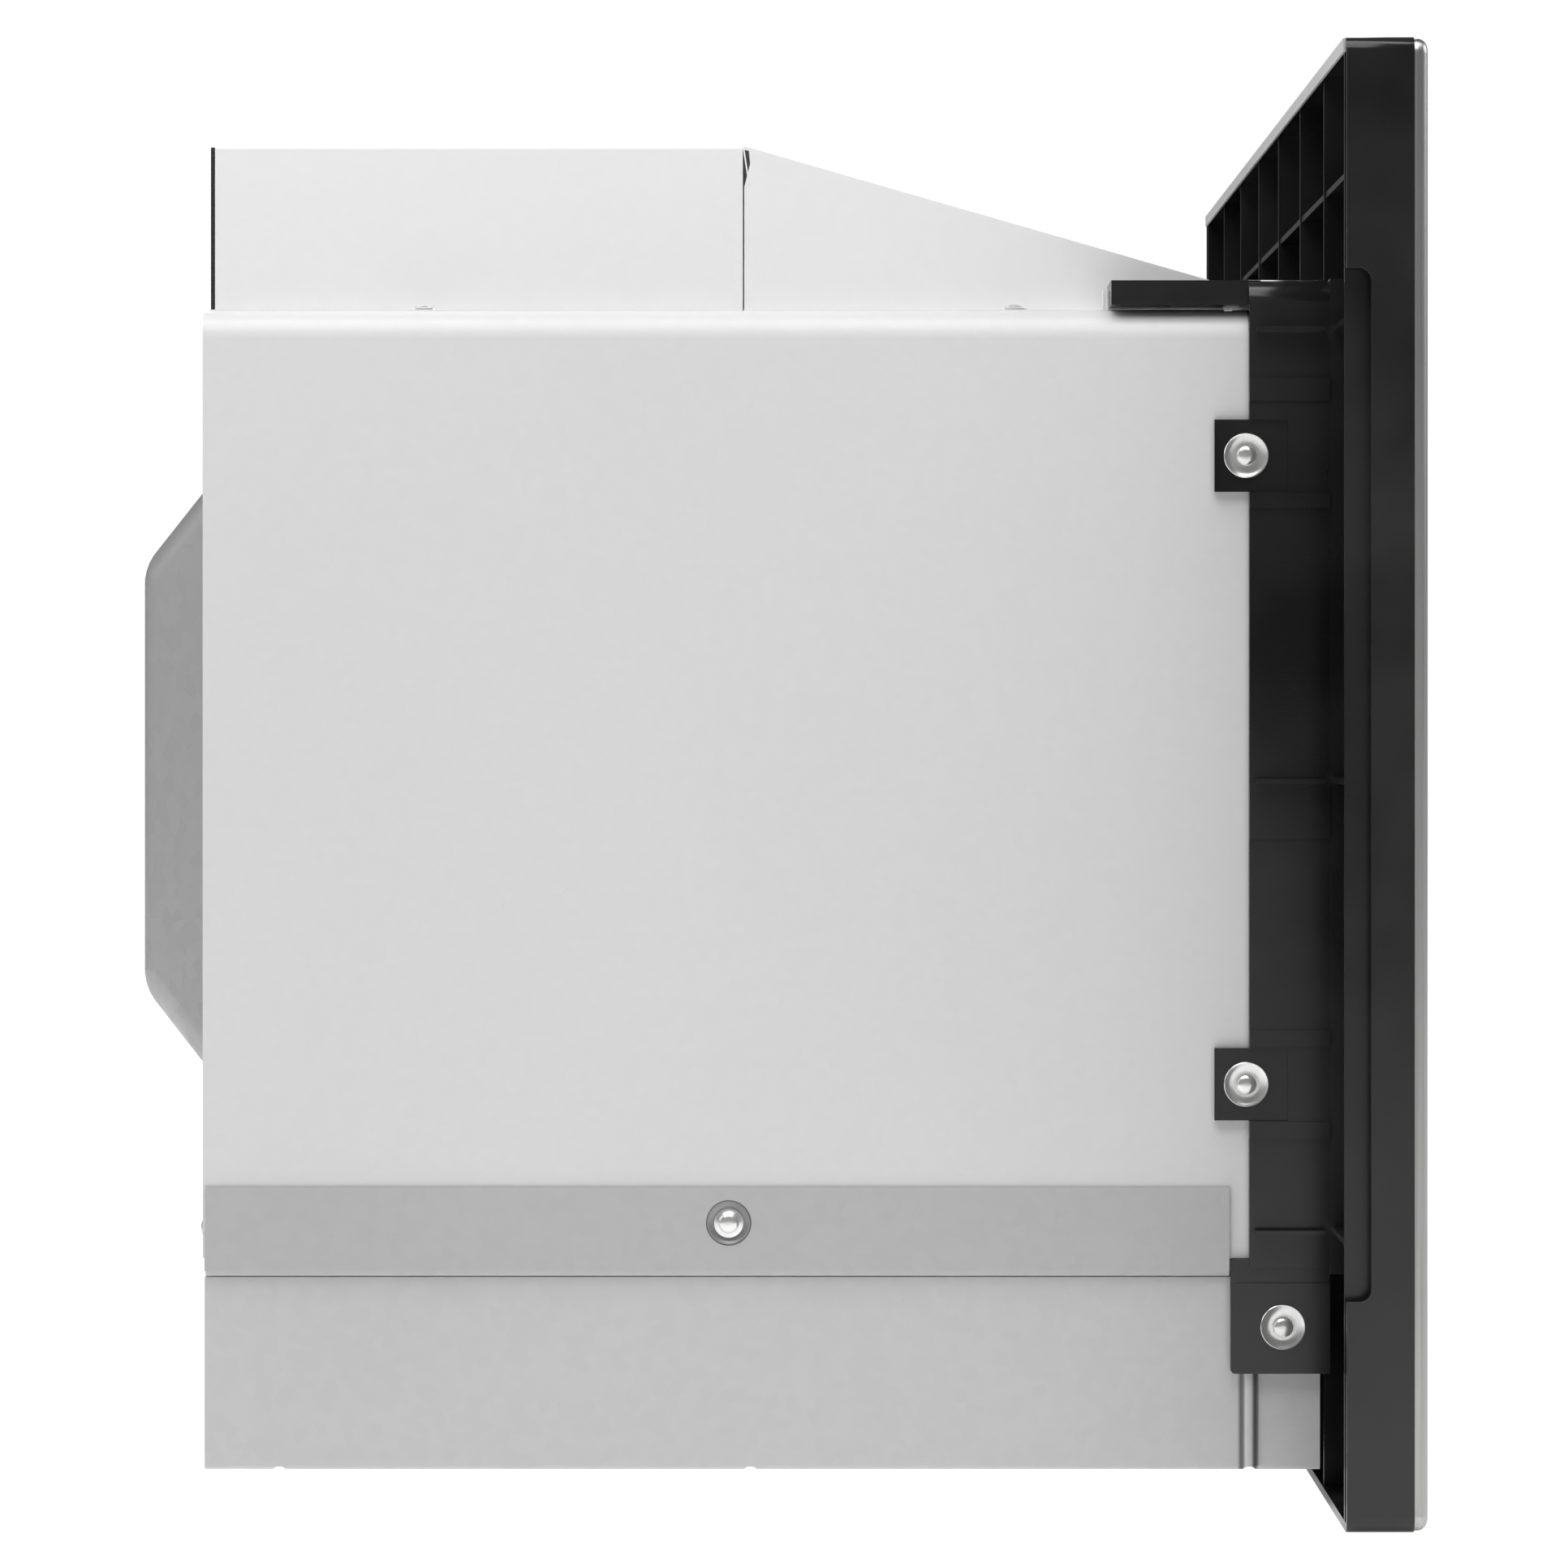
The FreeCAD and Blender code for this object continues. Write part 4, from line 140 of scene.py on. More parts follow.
def open_group(name, inputs, outputs):
    """A shader node group with named sockets; returns its tree and its inner ends."""
    tree = bpy.data.node_groups.new(name, "ShaderNodeTree")
    for label, kind, value in inputs:
        socket = tree.interface.new_socket(label, in_out="INPUT", socket_type=kind)
        if value is not None:
            socket.default_value = value
    for label, kind in outputs:
        tree.interface.new_socket(label, in_out="OUTPUT", socket_type=kind)
    return tree, tree.nodes.new("NodeGroupInput"), tree.nodes.new("NodeGroupOutput")


def put(tree, kind, links=None, values=None, **settings):
    """Adds a node, sets its options and loose values, and links what feeds it."""
    node = tree.nodes.new(kind)
    for option, value in settings.items():
        setattr(node, option, value)
    for socket, value in (values or {}).items():
        node.inputs[socket].default_value = value
    for socket, source in (links or {}).items():
        tree.links.new(source, node.inputs[socket])
    return node


def blend_colour(tree, amount, first, second):
    """Mixes two colours, each a socket or a plain colour."""
    mixer = tree.nodes.new("ShaderNodeMix")
    mixer.data_type = "RGBA"
    for socket, source in ((0, amount), (6, first), (7, second)):
        if isinstance(source, bpy.types.NodeSocket):
            tree.links.new(source, mixer.inputs[socket])
        else:
            mixer.inputs[socket].default_value = source
    return mixer.outputs[2]


def spread(tree, source, low, high, out_low, out_high):
    """Maps a value from one range to another, held at its ends."""
    ranged = put(tree, "ShaderNodeMapRange", {0: source}, {1: low, 2: high, 3: out_low, 4: out_high})
    return ranged.outputs[0]


sheet_skin, skin_in, skin_out = open_group(
    "sheet_skin",
    [("Vector", "NodeSocketVector", None), ("Tone", "NodeSocketColor", (0.7, 0.7, 0.7, 1)),
     ("Mottle", "NodeSocketColor", (0.6, 0.6, 0.6, 1)), ("Spangle Size", "NodeSocketFloat", 120.0),
     ("Spangle Amount", "NodeSocketFloat", 0.2), ("Peel Size", "NodeSocketFloat", 700.0),
     ("Roughness", "NodeSocketFloat", 0.4)],
    [("Color", "NodeSocketColor"), ("Roughness", "NodeSocketFloat"), ("Height", "NodeSocketFloat")],
)
cloud = put(sheet_skin, "ShaderNodeTexNoise", {"Vector": skin_in.outputs["Vector"]}, {"Scale": 5.0, "Detail": 4.0})
spangle = put(sheet_skin, "ShaderNodeTexVoronoi",
              {"Vector": skin_in.outputs["Vector"], "Scale": skin_in.outputs["Spangle Size"]})
spangle_value = put(sheet_skin, "ShaderNodeSeparateColor", {0: spangle.outputs["Color"]})
peel = put(sheet_skin, "ShaderNodeTexNoise",
           {"Vector": skin_in.outputs["Vector"], "Scale": skin_in.outputs["Peel Size"]}, {"Detail": 2.0})
flecks = put(sheet_skin, "ShaderNodeMath",
             {0: spangle_value.outputs[0], 1: skin_in.outputs["Spangle Amount"]}, operation="MULTIPLY")
cloudy = spread(sheet_skin, cloud.outputs["Fac"], 0.35, 0.7, 0.0, 0.55)
mottle = put(sheet_skin, "ShaderNodeMath", {0: flecks.outputs[0], 1: cloudy}, operation="ADD", use_clamp=True)
sheet_skin.links.new(blend_colour(sheet_skin, mottle.outputs[0], skin_in.outputs["Tone"], skin_in.outputs["Mottle"]),
                     skin_out.inputs["Color"])
rough_swing = spread(sheet_skin, mottle.outputs[0], 0.0, 1.0, -0.04, 0.08)
skin_rough = put(sheet_skin, "ShaderNodeMath", {0: skin_in.outputs["Roughness"], 1: rough_swing}, operation="ADD")
sheet_skin.links.new(skin_rough.outputs[0], skin_out.inputs["Roughness"])
sheet_skin.links.new(peel.outputs["Fac"], skin_out.inputs["Height"])


def start_finish(name, metallic=0.0, **plain):
    """A material with its Principled shader and Object coordinates ready; plain values go on the shader."""
    material = bpy.data.materials.new(name)
    material.use_nodes = True
    tree = material.node_tree
    shader = tree.nodes["Principled BSDF"]
    shader.inputs["Metallic"].default_value = metallic
    for socket, value in plain.items():
        shader.inputs[socket.replace("_", " ")].default_value = value
    return material, tree, shader, tree.nodes.new("ShaderNodeTexCoord").outputs["Object"]


def raise_relief(tree, shader, height, distance, strength=0.5):
    """Feeds a height into the shader's normal; distance is in metres."""
    bump = put(tree, "ShaderNodeBump", {"Height": height}, {"Strength": strength, "Distance": distance})
    tree.links.new(bump.outputs["Normal"], shader.inputs["Normal"])


def sheet_steel(name, tone, mottle_tone, spangle_size, spangle_amount, roughness, peel_size=700.0,
                peel_depth=0.00002, metallic=0.0, **plain):
    """Coated or galvanised sheet steel."""
    material, tree, shader, place = start_finish(name, metallic, **plain)
    skin = tree.nodes.new("ShaderNodeGroup")
    skin.node_tree = sheet_skin
    tree.links.new(place, skin.inputs["Vector"])
    for socket, value in (("Tone", tone), ("Mottle", mottle_tone), ("Spangle Size", spangle_size),
                          ("Spangle Amount", spangle_amount), ("Peel Size", peel_size), ("Roughness", roughness)):
        skin.inputs[socket].default_value = value
    tree.links.new(skin.outputs["Color"], shader.inputs["Base Color"])
    tree.links.new(skin.outputs["Roughness"], shader.inputs["Roughness"])
    raise_relief(tree, shader, skin.outputs["Height"], peel_depth)
    return material


def ease_edges(width, *names, segments=2, flat=False):
    """Rounds a CAD piece's sharp edges by a small width, as pressing or moulding leaves them."""
    for name in names:
        piece = oven[name]
        weld = piece.modifiers.new("weld", "WELD")
        weld.merge_threshold = 0.00001
        if not flat:
            planar = piece.modifiers.new("planar", "DECIMATE")
            planar.decimate_type = "DISSOLVE"
            planar.angle_limit = math.radians(0.5)
        edge = piece.modifiers.new("eased_edge", "BEVEL")
        edge.width, edge.segments = width, segments
        edge.limit_method, edge.angle_limit = "ANGLE", math.radians(35)
        edge.use_clamp_overlap = True
        if not flat:
            for face in piece.data.polygons:
                face.use_smooth = True
            even = piece.modifiers.new("even_normals", "WEIGHTED_NORMAL")
            even.keep_sharp = True


def coat(material, *names):
    """Puts a finish on CAD pieces."""
    for name in names:
        oven[name].data.materials.clear()
        oven[name].data.materials.append(material)


coat(sheet_steel("wrapper_coating", (0.78, 0.78, 0.78, 1), (0.74, 0.74, 0.74, 1), 260.0, 0.30, 0.38,
                 peel_size=420.0, peel_depth=0.00004), "cabinet_wrapper")
ease_edges(0.00025, "cabinet_wrapper")


# ---------------------------------------------------------------- rear panel
# Galvanised sheet with a drawn bulge behind the cavity and a round grille for the cooling fan.
# Its zinc has a broader spangle than the wrapper's coating.

coat(sheet_steel("rear_zinc", (0.47, 0.47, 0.47, 1), (0.39, 0.39, 0.39, 1), 190.0, 0.5, 0.36,
                 metallic=0.35), "rear_panel")


# ---------------------------------------------------------------- base plate
# The plate that carries the works; its turned-up flanges lap the outside of the wrapper.
# Plain zinc-coated steel, a shade darker than the wrapper.

coat(sheet_steel("plate_zinc", (0.54, 0.54, 0.54, 1), (0.49, 0.49, 0.49, 1), 240.0, 0.35, 0.40,
                 metallic=0.1), "base_plate", "front_plate")
ease_edges(0.0006, "base_plate", segments=3)


# ---------------------------------------------------------------- base pan
# The lower air duct, pressed from zinc-coated sheet, with an outward bead near its front.
# Shade is painted dark along the bead's two flanks, standing in for the shading of its steep sides.

bead_middle_y = -0.1629
pan_zinc = sheet_steel("pan_zinc", (0.64, 0.64, 0.64, 1), (0.59, 0.59, 0.59, 1), 240.0, 0.35, 0.42, metallic=0.05)
pan_tree = pan_zinc.node_tree
pan_shader = next(node for node in pan_tree.nodes if node.type == "BSDF_PRINCIPLED")
pan_tone = pan_shader.inputs["Base Color"].links[0].from_socket
pan_place = put(pan_tree, "ShaderNodeSeparateXYZ", {"Vector": put(pan_tree, "ShaderNodeTexCoord").outputs["Object"]})
off_bead = put(pan_tree, "ShaderNodeMath", {0: pan_place.outputs["Y"]}, {1: -bead_middle_y}, operation="ADD")
from_bead = put(pan_tree, "ShaderNodeMath", {0: off_bead.outputs[0]}, operation="ABSOLUTE")
# Painted shade: a dark band on each side of the bead's middle line, mixed into the zinc's colour.
painted_bead_shade = put(pan_tree, "ShaderNodeMath", {0: spread(pan_tree, from_bead.outputs[0], 0.0010, 0.0018, 0.0, 0.85),
                                         1: spread(pan_tree, from_bead.outputs[0], 0.0026, 0.0036, 1.0, 0.0)},
            operation="MULTIPLY")
pan_tree.links.new(blend_colour(pan_tree, painted_bead_shade.outputs[0], pan_tone, (0.06, 0.06, 0.06, 1)),
                   pan_shader.inputs["Base Color"])
coat(pan_zinc, "base_pan")
ease_edges(0.0004, "base_pan", segments=3)


# ---------------------------------------------------------------- exhaust duct
# A box and a sloped hood of pale coated sheet on the cabinet's top, screwed down along both sides.
# A foam gasket edges the rear mouth.

coat(sheet_steel("duct_coating", (0.89, 0.89, 0.89, 1), (0.86, 0.86, 0.86, 1), 260.0, 0.30, 0.40,
                 peel_size=420.0, peel_depth=0.00004), "exhaust_duct_box", "exhaust_duct_hood")
ease_edges(0.0002, "exhaust_duct_box", "exhaust_duct_hood")

foam, foam_tree, foam_shader, foam_place = start_finish("gasket_foam")
foam_cells = put(foam_tree, "ShaderNodeTexVoronoi", {"Vector": foam_place}, {"Scale": 1500.0})
foam_tree.links.new(blend_colour(foam_tree, spread(foam_tree, foam_cells.outputs["Distance"], 0.0, 0.7, 0.0, 1.0),
                                 (0.006, 0.006, 0.006, 1), (0.03, 0.03, 0.03, 1)), foam_shader.inputs["Base Color"])
foam_shader.inputs["Roughness"].default_value = 0.9
raise_relief(foam_tree, foam_shader, foam_cells.outputs["Distance"], 0.0003, 0.8)
coat(foam, "duct_rear_gasket")


# ---------------------------------------------------------------- collar and trim moulding
# Two injection mouldings in black: a collar that the cabinet's edge sits in, and the hollow ribbed trim.
# Both come from polished tools, so they are glossy with a fine ripple and a trace of grain.

moulded_skin, mould_in, mould_out = open_group(
    "moulded_skin",
    [("Vector", "NodeSocketVector", None), ("Tone", "NodeSocketColor", (0.02, 0.02, 0.02, 1)),
     ("Grain Size", "NodeSocketFloat", 1800.0), ("Roughness", "NodeSocketFloat", 0.3)],
    [("Color", "NodeSocketColor"), ("Roughness", "NodeSocketFloat"), ("Height", "NodeSocketFloat")],
)
flow = put(moulded_skin, "ShaderNodeTexNoise", {"Vector": mould_in.outputs["Vector"]}, {"Scale": 14.0, "Detail": 3.0})
grain = put(moulded_skin, "ShaderNodeTexNoise",
            {"Vector": mould_in.outputs["Vector"], "Scale": mould_in.outputs["Grain Size"]}, {"Detail": 3.0})
lighter = blend_colour(moulded_skin, spread(moulded_skin, flow.outputs["Fac"], 0.3, 0.7, 0.0, 0.035),
                       mould_in.outputs["Tone"], (0.5, 0.5, 0.5, 1))
moulded_skin.links.new(lighter, mould_out.inputs["Color"])
mould_rough = put(moulded_skin, "ShaderNodeMath",
                  {0: mould_in.outputs["Roughness"],
                   1: spread(moulded_skin, flow.outputs["Fac"], 0.3, 0.7, -0.04, 0.06)},
                  operation="ADD")
moulded_skin.links.new(mould_rough.outputs[0], mould_out.inputs["Roughness"])
moulded_skin.links.new(grain.outputs["Fac"], mould_out.inputs["Height"])


def moulding(name, tone, roughness, grain_size=1800.0, grain_depth=0.00002, **plain):
    """Injection-moulded plastic."""
    material, tree, shader, place = start_finish(name, 0.0, **plain)
    skin = tree.nodes.new("ShaderNodeGroup")
    skin.node_tree = moulded_skin
    tree.links.new(place, skin.inputs["Vector"])
    for socket, value in (("Tone", tone), ("Grain Size", grain_size), ("Roughness", roughness)):
        skin.inputs[socket].default_value = value
    tree.links.new(skin.outputs["Color"], shader.inputs["Base Color"])
    tree.links.new(skin.outputs["Roughness"], shader.inputs["Roughness"])
    raise_relief(tree, shader, skin.outputs["Height"], grain_depth)
    return material


coat(moulding("collar_black", (0.007, 0.007, 0.0075, 1), 0.17), "duct_collar")
coat(moulding("trim_black", (0.008, 0.008, 0.0085, 1), 0.20), "trim_frame")
ease_edges(0.0003, "duct_collar", "trim_frame", segments=1, flat=True)

pale_strip, strip_tree, strip_shader, strip_place = start_finish("strip_felt")
strip_fibre = put(strip_tree, "ShaderNodeTexNoise", {"Vector": strip_place}, {"Scale": 900.0, "Detail": 6.0})
strip_tree.links.new(blend_colour(strip_tree, strip_fibre.outputs["Fac"], (0.50, 0.50, 0.50, 1),
                                  (0.66, 0.66, 0.66, 1)),
                     strip_shader.inputs["Base Color"])
strip_shader.inputs["Roughness"].default_value = 0.85
raise_relief(strip_tree, strip_shader, strip_fibre.outputs["Fac"], 0.0001)
coat(pale_strip, "trim_top_seal")


# ---------------------------------------------------------------- steel face of the trim
# Thin stainless sheet with its edges turned back over the moulding, brushed from top to bottom.

brushed_skin, brush_in, brush_out = open_group(
    "brushed_skin",
    [("Vector", "NodeSocketVector", None), ("Tone", "NodeSocketColor", (0.5, 0.5, 0.5, 1)),
     ("Stroke", "NodeSocketColor", (0.4, 0.4, 0.4, 1)), ("Roughness", "NodeSocketFloat", 0.3)],
    [("Color", "NodeSocketColor"), ("Roughness", "NodeSocketFloat"), ("Height", "NodeSocketFloat")],
)
strokes = put(brushed_skin, "ShaderNodeTexNoise", {"Vector": brush_in.outputs["Vector"]},
              {"Scale": 1.0, "Detail": 5.0})
brushed_skin.links.new(blend_colour(brushed_skin, spread(brushed_skin, strokes.outputs["Fac"], 0.3, 0.7, 0.0, 1.0),
                                    brush_in.outputs["Tone"], brush_in.outputs["Stroke"]), brush_out.inputs["Color"])
brush_rough = put(brushed_skin, "ShaderNodeMath",
                  {0: brush_in.outputs["Roughness"],
                   1: spread(brushed_skin, strokes.outputs["Fac"], 0.3, 0.7, -0.06, 0.08)},
                  operation="ADD")
brushed_skin.links.new(brush_rough.outputs[0], brush_out.inputs["Roughness"])
brushed_skin.links.new(strokes.outputs["Fac"], brush_out.inputs["Height"])


def brushed_metal(name, tone, stroke, roughness, along=(1500, 1500, 9), depth=0.00001, metallic=1.0):
    """Metal with fine strokes; along gives how often they change in X, Y and Z, per metre."""
    material, tree, shader, place = start_finish(name, metallic)
    stretched = put(tree, "ShaderNodeMapping", {"Vector": place}, {"Scale": along})
    skin = tree.nodes.new("ShaderNodeGroup")
    skin.node_tree = brushed_skin
    tree.links.new(stretched.outputs["Vector"], skin.inputs["Vector"])
    for socket, value in (("Tone", tone), ("Stroke", stroke), ("Roughness", roughness)):
        skin.inputs[socket].default_value = value
    tree.links.new(skin.outputs["Color"], shader.inputs["Base Color"])
    tree.links.new(skin.outputs["Roughness"], shader.inputs["Roughness"])
    raise_relief(tree, shader, skin.outputs["Height"], depth)
    return material


coat(brushed_metal("face_stainless", (0.56, 0.555, 0.55, 1), (0.44, 0.435, 0.43, 1), 0.34), "trim_face")


# ---------------------------------------------------------------- vent grille
# A moulded insert of slats in the slot below the door, in matt black.

coat(moulding("grille_black", (0.016, 0.016, 0.017, 1), 0.5, grain_depth=0.00004), "vent_grille")


# ---------------------------------------------------------------- painted shade behind the grille
# A strip of black wadding with rounded edges, laid behind the slats as painted shade: it stands in for the dark
# inside of the duct. The grille's frame clips over it.

def finished_piece(name, form, finish, body):
    """Turns a form into a piece with its finish and body."""
    mesh = bpy.data.meshes.new(name)
    form.to_mesh(mesh)
    form.free()
    piece = bpy.data.objects.new(name, mesh)
    bpy.context.scene.collection.objects.link(piece)
    mesh.materials.append(finish)
    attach(piece, body)
    return piece


grille_low, grille_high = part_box("vent_grille")
shade_sheet_thick, shade_sheet_overlap, shade_sheet_round = 0.0024, 0.004, 0.0006
shade_sheet_form = bmesh.new()
shade_sheet_middle = ((grille_low[0] + grille_high[0]) / 2, grille_high[1] + 0.0004 + shade_sheet_thick / 2,
                 (grille_low[2] + grille_high[2]) / 2)
bmesh.ops.create_cube(shade_sheet_form, size=1, matrix=Matrix.Translation(shade_sheet_middle) @ Matrix.Diagonal(
    (grille_high[0] - grille_low[0] - shade_sheet_overlap, shade_sheet_thick,
     grille_high[2] - grille_low[2] + shade_sheet_overlap, 1)))
bmesh.ops.bevel(shade_sheet_form, geom=shade_sheet_form.edges[:], offset=shade_sheet_round, offset_type="OFFSET", affect="EDGES",
                segments=2, profile=0.5, material=-1)
finished_piece("vent_painted_shade_sheet", shade_sheet_form,
               moulding("painted_shade_black", (0.012, 0.012, 0.013, 1), 0.85, grain_size=900.0, grain_depth=0.0003),
               "cabinet")


# ---------------------------------------------------------------- door
# A moulded frame carries a tinted glass in front and a pressed steel panel behind, with a punched screen
# in its window. A moulded cover closes the panel's folded edge and a clear film keeps the screen clean.

coat(moulding("door_black", (0.012, 0.012, 0.013, 1), 0.38), "door_frame")
ease_edges(0.0004, "door_frame")


def tinted_glass(name, tint, roughness=0.03, transmission=1.0):
    """Toughened glass with faint ripple and smears that only its gloss shows."""
    material, tree, shader, place = start_finish(name, 0.0, Transmission_Weight=transmission, IOR=1.5)
    smear = put(tree, "ShaderNodeTexNoise", {"Vector": place}, {"Scale": 9.0, "Detail": 5.0})
    tree.links.new(spread(tree, smear.outputs["Fac"], 0.35, 0.75, roughness, roughness + 0.05),
                   shader.inputs["Roughness"])
    tree.links.new(blend_colour(tree, smear.outputs["Fac"], tint, tuple(c * 0.94 for c in tint[:3]) + (1,)),
                   shader.inputs["Base Color"])
    ripple = put(tree, "ShaderNodeTexNoise", {"Vector": place}, {"Scale": 6.0})
    raise_relief(tree, shader, ripple.outputs["Fac"], 0.0004, 0.15)
    return material


coat(tinted_glass("door_tinted_glass", (0.16, 0.16, 0.17, 1)), "door_glass")
coat(moulding("choke_black", (0.02, 0.02, 0.021, 1), 0.45), "door_choke_cover")
coat(sheet_steel("panel_black_enamel", (0.022, 0.022, 0.023, 1), (0.03, 0.03, 0.03, 1), 300.0, 0.3, 0.35),
     "door_choke_panel")
coat(tinted_glass("inner_clear_film", (0.93, 0.94, 0.95, 1), 0.08), "door_inner_film")

screen, screen_tree, screen_shader, screen_place = start_finish("punched_screen")
screen_axes = put(screen_tree, "ShaderNodeSeparateXYZ", {0: screen_place})
screen_pitch = 0.0022
dots = []
for axis in ("X", "Z"):
    scaled = put(screen_tree, "ShaderNodeMath", {0: screen_axes.outputs[axis]}, {1: 1 / screen_pitch},
                 operation="MULTIPLY")
    part = put(screen_tree, "ShaderNodeMath", {0: scaled.outputs[0]}, operation="FRACT")
    centred = put(screen_tree, "ShaderNodeMath", {0: part.outputs[0]}, {1: 0.5}, operation="SUBTRACT")
    dots.append(put(screen_tree, "ShaderNodeMath", {0: centred.outputs[0], 1: centred.outputs[0]},
                    operation="MULTIPLY"))
reach = put(screen_tree, "ShaderNodeMath", {0: dots[0].outputs[0], 1: dots[1].outputs[0]}, operation="ADD")
solid = put(screen_tree, "ShaderNodeMath", {0: reach.outputs[0]}, {1: 0.115}, operation="GREATER_THAN")
screen_tree.links.new(solid.outputs[0], screen_shader.inputs["Alpha"])
screen_mottle = put(screen_tree, "ShaderNodeTexNoise", {"Vector": screen_place}, {"Scale": 40.0})
screen_tree.links.new(blend_colour(screen_tree, screen_mottle.outputs["Fac"], (0.03, 0.03, 0.03, 1),
                                   (0.05, 0.05, 0.05, 1)),
                      screen_shader.inputs["Base Color"])
screen_shader.inputs["Roughness"].default_value = 0.45
coat(screen, "door_screen")

acetal = moulding("white_acetal", (0.72, 0.71, 0.67, 1), 0.42, Subsurface_Weight=0.05)
coat(acetal, "door_latch_key", "release_lever", "turntable_coupler")
coat(sheet_steel("hinge_zinc", (0.50, 0.50, 0.51, 1), (0.43, 0.43, 0.44, 1), 400.0, 0.4, 0.35, metallic=0.6),
     "hinge_brackets")


# ---------------------------------------------------------------- control panel
# A moulded fascia with a tinted panel, a lit clock behind it, and a broad push button for the door.

coat(moulding("fascia_black", (0.013, 0.013, 0.014, 1), 0.34), "control_fascia")
coat(moulding("button_black", (0.018, 0.018, 0.019, 1), 0.30), "door_button")
ease_edges(0.0004, "control_fascia", "door_button")
coat(tinted_glass("keypad_tinted_glass", (0.07, 0.07, 0.075, 1)), "keypad_glass")
coat(brushed_metal("spring_wire", (0.55, 0.55, 0.55, 1), (0.42, 0.42, 0.42, 1), 0.3, (900, 900, 900)),
     "button_spring")
coat(moulding("display_green", (0.02, 0.06, 0.045, 1), 0.2), "display_module")


def panel_patch(form, x, z, width, height, line=None):
    """A flat patch on the panel's face, or only its outline where a line width is given."""
    stand = Matrix.Translation((x, panel_face_y, z)) @ Matrix.Rotation(math.radians(90), 4, "X")
    made = bmesh.ops.create_grid(form, x_segments=1, y_segments=1, size=0.5,
                                 matrix=stand @ Matrix.Diagonal((width, height, 1, 1)))
    patch = list({face for v in made["verts"] for face in v.link_faces})
    if line:
        bmesh.ops.inset_region(form, faces=patch, thickness=line)
        bmesh.ops.delete(form, geom=patch, context="FACES_ONLY")


def panel_figure(form, figure, x, z, size):
    """A printed figure centred on a point of the panel's face."""
    lettering = bpy.data.curves.new("figure_outline", "FONT")
    lettering.body, lettering.size, lettering.align_x, lettering.align_y = figure, size, "CENTER", "CENTER"
    holder = bpy.data.objects.new("figure_outline", lettering)
    flat = bpy.data.meshes.new_from_object(holder)
    flat.transform(Matrix.Translation((x, panel_face_y, z)) @ Matrix.Rotation(math.radians(90), 4, "X"))
    form.from_mesh(flat)
    bpy.data.objects.remove(holder)
    bpy.data.curves.remove(lettering)
    bpy.data.meshes.remove(flat)


panel_low, panel_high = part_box("keypad_glass")
panel_face_y = panel_low[1] - 0.00004
panel_middle = (panel_low[0] + panel_high[0]) / 2
key_pitch, key_rise, key_width, key_height = 0.043, 0.031, 0.036, 0.023
first_row_z, mark_line = panel_high[2] - 0.082, 0.00035
pad_print = bmesh.new()
for place, figure in enumerate(("1", "2", "3", "4", "5", "6", "7", "8", "9", "", "0", "")):
    key_x = panel_middle + (place % 3 - 1) * key_pitch
    key_z = first_row_z - (place // 3) * key_rise
    panel_patch(pad_print, key_x, key_z, key_width, key_height, mark_line)
    if figure:
        panel_figure(pad_print, figure, key_x, key_z, 0.012)
stop_x, start_x = panel_middle - key_pitch, panel_middle + key_pitch
bottom_row_z = first_row_z - 3 * key_rise
panel_patch(pad_print, stop_x, bottom_row_z, 0.0065, 0.0065)
bmesh.ops.create_circle(pad_print, cap_ends=True, segments=3, radius=0.0045,
                                matrix=Matrix.Translation((start_x, panel_face_y, bottom_row_z))
                                @ Matrix.Rotation(math.radians(90), 4, "X") @ Matrix.Rotation(math.radians(-90), 4,
                                                                                              "Z"))
for row in range(2):
    for column in range(3):
        panel_patch(pad_print, panel_middle + (column - 1) * key_pitch, panel_low[2] + 0.020 + row * 0.022,
                    key_width, 0.015, mark_line)
for column, count in enumerate((1, 2, 3)):
    for bar in range(count):
        panel_patch(pad_print, panel_middle + (column - 1) * key_pitch + (bar - (count - 1) / 2) * 0.0045,
                    panel_low[2] + 0.042, 0.0022, 0.0022 + 0.0018 * (bar + 1))
for column, spread_out in enumerate((0.004, 0.008, 0.012)):
    panel_patch(pad_print, panel_middle + (column - 1) * key_pitch, panel_low[2] + 0.020, spread_out, 0.0016)

ink, ink_tree, ink_shader, ink_place = start_finish("pale_screen_ink", Roughness=0.55)
ink_grain = put(ink_tree, "ShaderNodeTexNoise", {"Vector": ink_place}, {"Scale": 2500.0, "Detail": 2.0})
ink_tree.links.new(blend_colour(ink_tree, ink_grain.outputs["Fac"], (0.46, 0.46, 0.47, 1), (0.60, 0.60, 0.61, 1)),
                   ink_shader.inputs["Base Color"])
finished_piece("keypad_printing", pad_print, ink, "cabinet")

clock_form = bmesh.new()
clock_z, digit_high, stroke = panel_high[2] - 0.036, 0.015, 0.0016
digit_wide = digit_high * 0.52
lit_strokes = {"1": "bc", "2": "abged", "3": "abgcd", "0": "abcdef"}
stroke_places = {"a": (0, 0.5, True), "g": (0, 0, True), "d": (0, -0.5, True), "b": (0.5, 0.25, False),
                 "c": (0.5, -0.25, False), "e": (-0.5, -0.25, False), "f": (-0.5, 0.25, False)}
for figure, across in (("1", -0.0235), ("2", -0.0105), ("3", 0.0075), ("0", 0.0205)):
    for segment in lit_strokes[figure]:
        right, up, level = stroke_places[segment]
        size = (digit_wide - stroke * 0.6, stroke) if level else (stroke, digit_high / 2 - stroke * 0.6)
        panel_patch(clock_form, panel_middle + across + right * digit_wide, clock_z + up * digit_high, *size)
for up in (-0.0035, 0.0035):
    panel_patch(clock_form, panel_middle - 0.0015, clock_z + up, stroke, stroke)
glow, glow_tree, glow_shader, glow_place = start_finish("clock_glow", Roughness=0.4)
glow_shader.inputs["Emission Strength"].default_value = 1.1
glow_dots = put(glow_tree, "ShaderNodeTexVoronoi", {"Vector": glow_place}, {"Scale": 1800.0})
